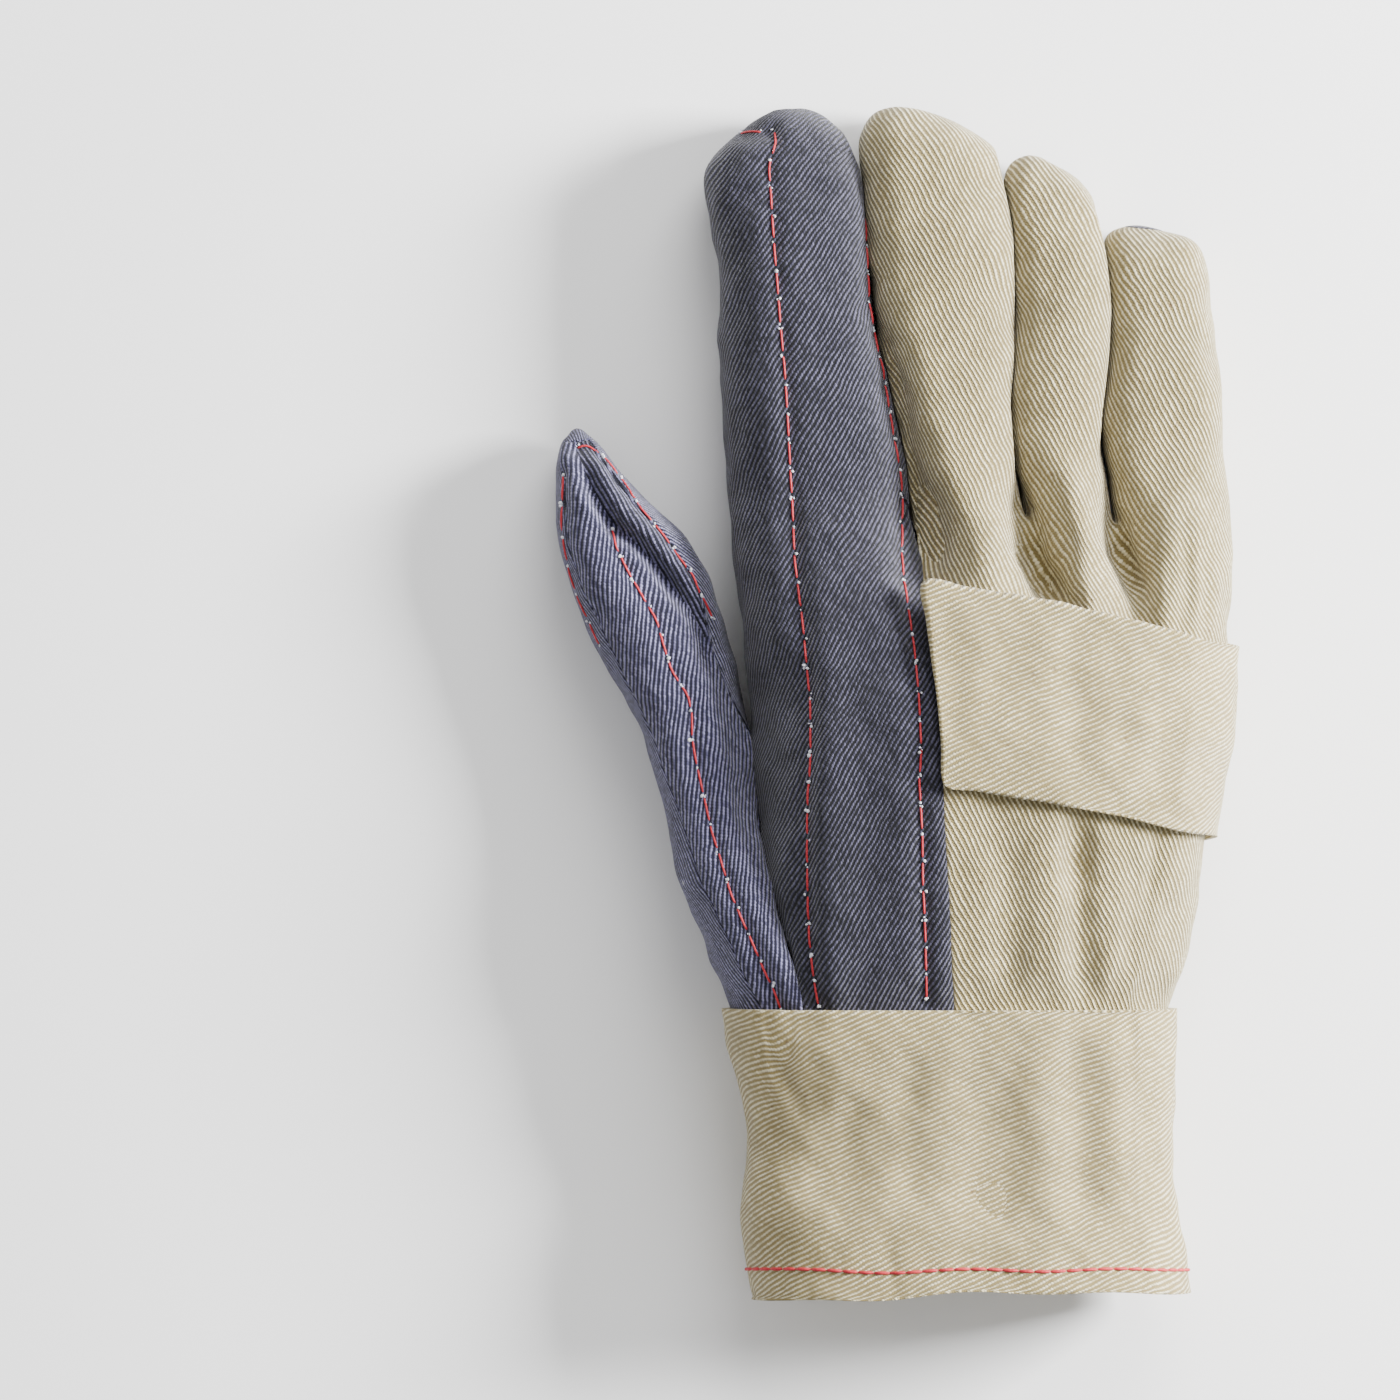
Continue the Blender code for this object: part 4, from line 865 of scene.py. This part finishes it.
def cloth_material(name, turn, lean, pitches, colours, specks, bump):
    """Woven cloth. Its colours are groove, yarn, light yarn and speck, its specks have a size and a share, and its
    turn is the twill's on the cut piece."""
    material, w, shader = new_material(name)
    groove, dull, light, speck = [(*c, 1.0) for c in colours]
    uv = w.node("ShaderNodeTexCoord").outputs["UV"]
    millimetres = {"Vector": uv, "Rotation": (0, 0, -turn), "Scale": (1 / MM, 1 / MM, 1 / MM)}
    place = w.node("ShaderNodeMapping", millimetres).outputs[0]
    weave = w.node(
        "ShaderNodeGroup",
        {"Place": place, "Warp Pitch": pitches[0], "Weft Pitch": pitches[1], "Lean": lean},
        node_tree=group_named("Twill weave", twill_group),
    )
    wear = w.node(
        "ShaderNodeGroup",
        {"Place": place, "Speck Size": specks[0], "Speck Share": specks[1]},
        node_tree=group_named("Cloth variation", wear_group),
    )
    body = w.range(weave.outputs["Height"], 0.24, 0.80, 0.0, 1.0)
    patchy = w.plus(w.times(wear.outputs["Patch"], 0.55), w.times(wear.outputs["Streak"], 0.45))
    mixed = w.plus(w.times(weave.outputs["Yarn"], 0.55), w.times(patchy, 0.45))
    yarn = w.blend(w.range(mixed, 0.3, 0.7, 0.0, 1.0), dull, light)
    colour = w.blend(body, groove, yarn)
    for source, low, high in ((patchy, 0.84, 1.10), (weave.outputs["Fibre"], 0.90, 1.08)):
        shade = w.range(source, 0.3, 0.7, low, high)
        colour = w.blend(1.0, colour, w.vector(shade, shade, shade), "MULTIPLY")
    colour = w.blend(wear.outputs["Speck"], colour, speck)
    w.set(shader.inputs["Base Color"], colour)
    w.set(shader.inputs["Roughness"], w.range(weave.outputs["Float"], 0.0, 1.0, 0.95, 0.78))
    for label, value in (("Specular IOR Level", 0.25), ("Sheen Weight", 0.25), ("Sheen Roughness", 0.5)):
        w.set(shader.inputs[label], value)
    w.bump(shader, 1.0, bump * MM, weave.outputs["Height"])
    return material


def thread_material(my):
    material, w, shader = new_material("red thread")
    place = w.node("ShaderNodeTexCoord").outputs["Object"]
    plies = w.node("ShaderNodeMapping", {"Vector": place, "Rotation": (0, 0, 0.6), "Scale": (5000, 1600, 5000)})
    fine = w.noise(plies.outputs[0], 1.0, 2.0)
    red = (*my.thread_colour, 1.0)
    dark = (*(c * 0.55 for c in my.thread_colour), 1.0)
    w.set(shader.inputs["Base Color"], w.blend(w.range(fine.outputs[0], 0.35, 0.6, 0.0, 1.0), dark, red))
    w.set(shader.inputs["Roughness"], w.range(fine.outputs[0], 0.3, 0.7, 0.75, 0.5))
    w.bump(shader, 0.6, 0.08 * MM, fine.outputs[0])
    return material


def lint_material():
    material, w, shader = new_material("pale lint")
    place = w.node("ShaderNodeTexCoord").outputs["Object"]
    fine = w.noise(place, 4000.0, 3.0, 0.7)
    w.set(shader.inputs["Base Color"], w.blend(fine.outputs[0], (0.45, 0.46, 0.55, 1), (0.85, 0.85, 0.88, 1)))
    w.set(shader.inputs["Roughness"], w.range(fine.outputs[0], 0.3, 0.7, 0.8, 1.0))
    w.bump(shader, 1.0, 0.15 * MM, fine.outputs[0])
    return material


def denim(name, turn, my, lightness=1.0):
    """Denim, lighter and with less contrast where the given lightness factor is above 1."""
    colours = [tuple(c * lightness**1.5 for c in my.denim_groove), tuple(c * lightness for c in my.denim_yarn)]
    colours += [tuple(c * lightness**0.78 for c in my.denim_light), (0.5, 0.5, 0.55)]
    pitches = (my.denim_warp, my.denim_weft)
    return cloth_material(name, turn, -1.0, pitches, colours, specks=(0.22, 0.012), bump=0.40)


def canvas(name, turn, my, lift=1.0, specks=0.05):
    """Unbleached canvas, its grooves paler where lift is above 1."""
    groove = tuple(c * lift for c in my.canvas_groove)
    colours = (groove, my.canvas_yarn, my.canvas_light, my.canvas_speck)
    pitches = (my.canvas_warp, my.canvas_weft)
    return cloth_material(name, turn, 1.0, pitches, colours, specks=(0.17, specks), bump=0.45)


# Settings


def number_setting(name, description, default, low, high, **more):
    return FloatProperty(name=name, description=description, default=default, min=low, max=high, **more)


def length_setting(name, description, default, low, high):
    """A length, given in millimetres."""
    return number_setting(name, description, default * MM, low * MM, high * MM, unit="LENGTH")


def pitch_setting(name, between, default):
    """A weave's pitch, kept in millimetres for the materials."""
    return number_setting(name, f"Distance between {between}, in millimetres", default, 0.1, 2)


def angle_setting(name, description, degrees):
    return FloatProperty(name=name, description=description, default=math.radians(degrees), subtype="ANGLE")


def colour_setting(name, description, default):
    return FloatVectorProperty(name=name, description=description, default=default, subtype="COLOR", min=0, max=1)


class GloveLook(bpy.types.PropertyGroup):
    """Sizes and colours of the glove's cloth and thread"""

    stitch_pitch: length_setting("Stitch pitch", "Distance from one needle hole to the next", 6.4, 1, 20)
    stitch_share: number_setting(
        "Stitch share", "Share of the pitch that the thread shows for", 0.86, 0.2, 1, subtype="FACTOR"
    )
    thread_diameter: length_setting("Thread diameter", "Diameter of the quilting thread", 0.5, 0.1, 2)
    hem_pitch: length_setting("Hem stitch pitch", "Distance between the stitches of the hem", 3.6, 1, 20)
    lint_size: length_setting("Lint size", "Largest diameter of the lint at the needle holes", 1.0, 0.1, 4)
    seam_dip: length_setting("Seam dip", "How far the thread pulls the cloth in", 0.75, 0, 3)
    fold_strength: number_setting("Fold strength", "Depth of the folds, 1 as worn", 1, 0, 3)
    unevenness: length_setting("Unevenness", "Height of the cloth's soft waves", 0.42, 0, 3)
    crease_depth: length_setting("Crease depth", "Depth of the fine creases in the canvas", 0.35, 0, 3)
    denim_warp: pitch_setting("Denim warp pitch", "the denim's yarns along the cloth", 0.53)
    denim_weft: pitch_setting("Denim weft pitch", "the denim's yarns across the cloth", 0.43)
    canvas_warp: pitch_setting("Canvas warp pitch", "the canvas yarns along the cloth", 0.56)
    canvas_weft: pitch_setting("Canvas weft pitch", "the canvas yarns across the cloth", 0.46)
    denim_turn: angle_setting("Denim turn", "How far the denim is turned on the palm", 21)
    thumb_turn: angle_setting("Thumb denim turn", "How far the denim is turned on the thumb", 49)
    thumb_lightness: number_setting("Thumb lightness", "How much lighter the thumb's denim is", 3.9, 0.2, 5)
    canvas_turn: angle_setting("Canvas turn", "How far the canvas is turned on the back", -21)
    band_turn: angle_setting("Band turn", "How far the canvas is turned on the strap and the cuff", 64)
    denim_groove: colour_setting("Denim groove", "Colour between the denim yarns", (0.001, 0.001, 0.003))
    denim_yarn: colour_setting("Denim yarn", "Colour of the duller denim yarns", (0.019, 0.018, 0.039))
    denim_light: colour_setting("Denim light yarn", "Colour of the lighter denim yarns", (0.094, 0.089, 0.157))
    canvas_groove: colour_setting("Canvas groove", "Colour between the canvas yarns", (0.20, 0.155, 0.062))
    canvas_yarn: colour_setting("Canvas yarn", "Colour of the duller canvas yarns", (0.525, 0.45, 0.26))
    canvas_light: colour_setting("Canvas light yarn", "Colour of the lighter canvas yarns", (0.76, 0.69, 0.475))
    canvas_speck: colour_setting("Canvas speck", "Colour of the seed specks in the canvas", (0.12, 0.07, 0.03))
    thread_colour: colour_setting("Thread", "Colour of the quilting thread", (0.52, 0.018, 0.03))
    camera_lens: number_setting("Camera lens", "Focal length of the camera in millimetres", 300, 20, 600)
    subdivision: IntProperty(name="Subdivision", description="Steps of the cloth's rounding", default=3, min=1, max=4)


# Operators


class GLOVE_OT_denim(bpy.types.Operator):
    """Dress the palm and the thumb in denim"""

    bl_idname = "glove.denim"
    bl_label = "Denim panels"

    def execute(self, context):
        my = look()
        palm = denim("palm denim", my.denim_turn, my)
        cloth_piece("palm_cloth", "palm_panel", SOFT_EDGE, palm)
        thumb = denim("thumb denim", my.thumb_turn, my, my.thumb_lightness)
        top = cloth_piece("thumb_top_cloth", "thumb_top", SOFT_EDGE, thumb)
        cloth_piece("thumb_under_cloth", "thumb_under", SOFT_EDGE, thumb)
        self.turn_and_shade_side(top, my)
        return {"FINISHED"}

    def turn_and_shade_side(self, top, my):
        """Turns the cloth on the far side of the thumb's crease, where it runs along the crease, and darkens it there
        as painted shade.
        """
        # Painted shade: the far side of the thumb takes a copy of the thumb's denim at 0.6 of its lightness, darker
        # as if in shadow.
        side = denim("thumb side denim with painted shade", my.thumb_turn + THUMB_SIDE_TURN, my, my.thumb_lightness * 0.6)
        top.data.materials.append(side)
        line = to_metres(THUMB_CREASE)
        for polygon in top.data.polygons:
            x, y = polygon.center.xy
            if np.interp(-y, -line[:, 1], line[:, 0]) < x and y > line[-1, 1]:
                polygon.material_index = 1


class GLOVE_OT_canvas(bpy.types.Operator):
    """Dress the back of the hand in canvas"""

    bl_idname = "glove.canvas"
    bl_label = "Canvas back"

    def execute(self, context):
        my = look()
        cloth = canvas("back canvas", my.canvas_turn, my)
        cloth_piece("back_cloth", "back_panel", SOFT_EDGE, cloth)
        return {"FINISHED"}


class GLOVE_OT_bands(bpy.types.Operator):
    """Dress the knuckle strap and the cuff in canvas cut across"""

    bl_idname = "glove.bands"
    bl_label = "Strap and cuff"

    def execute(self, context):
        my = look()
        cloth = canvas("band canvas", my.band_turn, my, 1.25, 0.10)
        cloth_piece("strap_cloth", "knuckle_strap", SHARP_EDGE, cloth)
        cloth_piece("cuff_cloth", "cuff", BAND_EDGE, cloth)
        return {"FINISHED"}


class GLOVE_OT_stitching(bpy.types.Operator):
    """Sew the quilting lines and the hem"""

    bl_idname = "glove.stitching"
    bl_label = "Stitching"

    def execute(self, context):
        my = look()
        material = thread_material(my)
        curve, holes = new_thread("quilting_thread", my.thread_diameter), []
        trees = {piece: tree_of(piece) for piece, _, _ in QUILTING}
        trees["thumb_top_cloth"] = tree_of("thumb_top_cloth", "thumb_under_cloth")
        for piece, side, rows in QUILTING:
            for line in rows:
                holes += sew(curve, trees[piece], to_metres(line), side, my)
        thread_piece("quilting_thread", curve, material)
        lint_piece("thread_lint", holes, lint_material(), my)
        self.hem(my, material)
        return {"FINISHED"}

    def hem(self, my, material):
        tree = tree_of("cuff_cloth")
        low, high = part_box("cuff")
        centre = Vector(((low[0] + high[0]) / 2, 0, (low[2] + high[2]) / 2))
        path = []
        for k in range(HEM_RAYS):
            angle = 2 * math.pi * k / HEM_RAYS
            out = Vector((math.cos(angle), 0, math.sin(angle) * 0.5)).normalized()
            start = centre + Vector((0, HEM_Y, 0))
            point, normal, _, _ = tree.ray_cast(start + out * 0.2, -out)
            if point is not None:
                start.y += 0.8 * float(hem_shift(point.x)) + 0.4 * MM * math.sin(3 * angle)
                point, normal, _, _ = tree.ray_cast(start + out * 0.2, -out)
            if point is not None:
                path.append((point, normal))
        steps = [0.0]
        for (a, _), (b, _) in zip(path, path[1:]):
            steps.append(steps[-1] + (b - a).length)
        diameter = my.thread_diameter * HEM_THREAD
        curve, radius = new_thread("hem_thread", diameter), diameter / 2
        count = round(steps[-1] / my.hem_pitch)
        for k in range(count):
            begin = k * my.hem_pitch
            points = []
            for t, lift in ((0.0, -0.9), (0.15, 0.3), (0.5, 0.75), (0.85, 0.3), (1.02, -0.9)):
                i = min(int(np.searchsorted(steps, begin + t * my.hem_pitch)), len(path) - 1)
                points.append(path[i][0] + path[i][1] * radius * lift)
            add_thread(curve, points, [0.8, 1, 1.05, 1, 0.8])
        thread_piece("hem_thread", curve, material)


class GLOVE_OT_stage(bpy.types.Operator):
    """Set up the floor, the lights and the camera"""

    bl_idname = "glove.stage"
    bl_label = "Floor, lights and camera"

    def execute(self, context):
        my, scene = look(), bpy.context.scene
        bm = bmesh.new()
        bmesh.ops.create_grid(bm, x_segments=2, y_segments=2, size=3.0)
        mesh = bpy.data.meshes.new("floor")
        bm.to_mesh(mesh)
        bm.free()
        material, w, shader = new_material("pale floor")
        w.set(shader.inputs["Base Color"], (0.95, 0.95, 0.95, 1))
        w.set(shader.inputs["Roughness"], 0.9)
        mesh.materials.append(material)
        new_object("floor", mesh)
        world = bpy.data.worlds.new("studio")
        world.use_nodes = True
        sky = world.node_tree.nodes["Background"].inputs
        sky["Color"].default_value = (1, 1, 1, 1)
        sky["Strength"].default_value = WORLD_STRENGTH
        scene.world = world
        for light in LIGHTS:
            self.lamp(*light)
        camera = bpy.data.cameras.new("camera")
        camera.lens = my.camera_lens
        camera.sensor_width = SENSOR_WIDTH
        camera.clip_start, camera.clip_end = 0.05, 20.0
        obj = new_object("camera", camera)
        obj.location = CAMERA_AIM
        obj.location.z += my.camera_lens * PHOTO_WIDTH / SENSOR_WIDTH
        scene.camera = obj
        return {"FINISHED"}

    def lamp(self, name, place, size, power):
        light = bpy.data.lights.new(name, "AREA")
        light.shape = "SQUARE"
        light.size = size
        light.energy = power
        obj = new_object(name, light)
        obj.location = place
        obj.rotation_euler = (LIGHT_AIM - Vector(place)).to_track_quat("-Z", "Y").to_euler()


class GLOVE_PT_panel(bpy.types.Panel):
    """Sizes and steps of the glove's looks"""

    bl_label = "Work glove"
    bl_idname = "GLOVE_PT_panel"
    bl_space_type = "VIEW_3D"
    bl_region_type = "UI"
    bl_category = "Glove"

    def draw(self, context):
        for name in GloveLook.__annotations__:
            self.layout.prop(context.scene.glove_look, name)
        for operator in OPERATORS:
            self.layout.operator(operator.bl_idname)


OPERATORS = (GLOVE_OT_denim, GLOVE_OT_canvas, GLOVE_OT_bands, GLOVE_OT_stitching, GLOVE_OT_stage)
CLASSES = (GloveLook, *OPERATORS, GLOVE_PT_panel)


def register():
    for made in CLASSES:
        bpy.utils.register_class(made)
    bpy.types.Scene.glove_look = PointerProperty(type=GloveLook)


def unregister():
    del bpy.types.Scene.glove_look
    for made in reversed(CLASSES):
        bpy.utils.unregister_class(made)


def main():
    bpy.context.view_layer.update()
    register()
    bpy.ops.glove.denim()
    bpy.ops.glove.canvas()
    bpy.ops.glove.bands()
    bpy.ops.glove.stitching()
    bpy.ops.glove.stage()


if __name__ == "__main__":
    main()
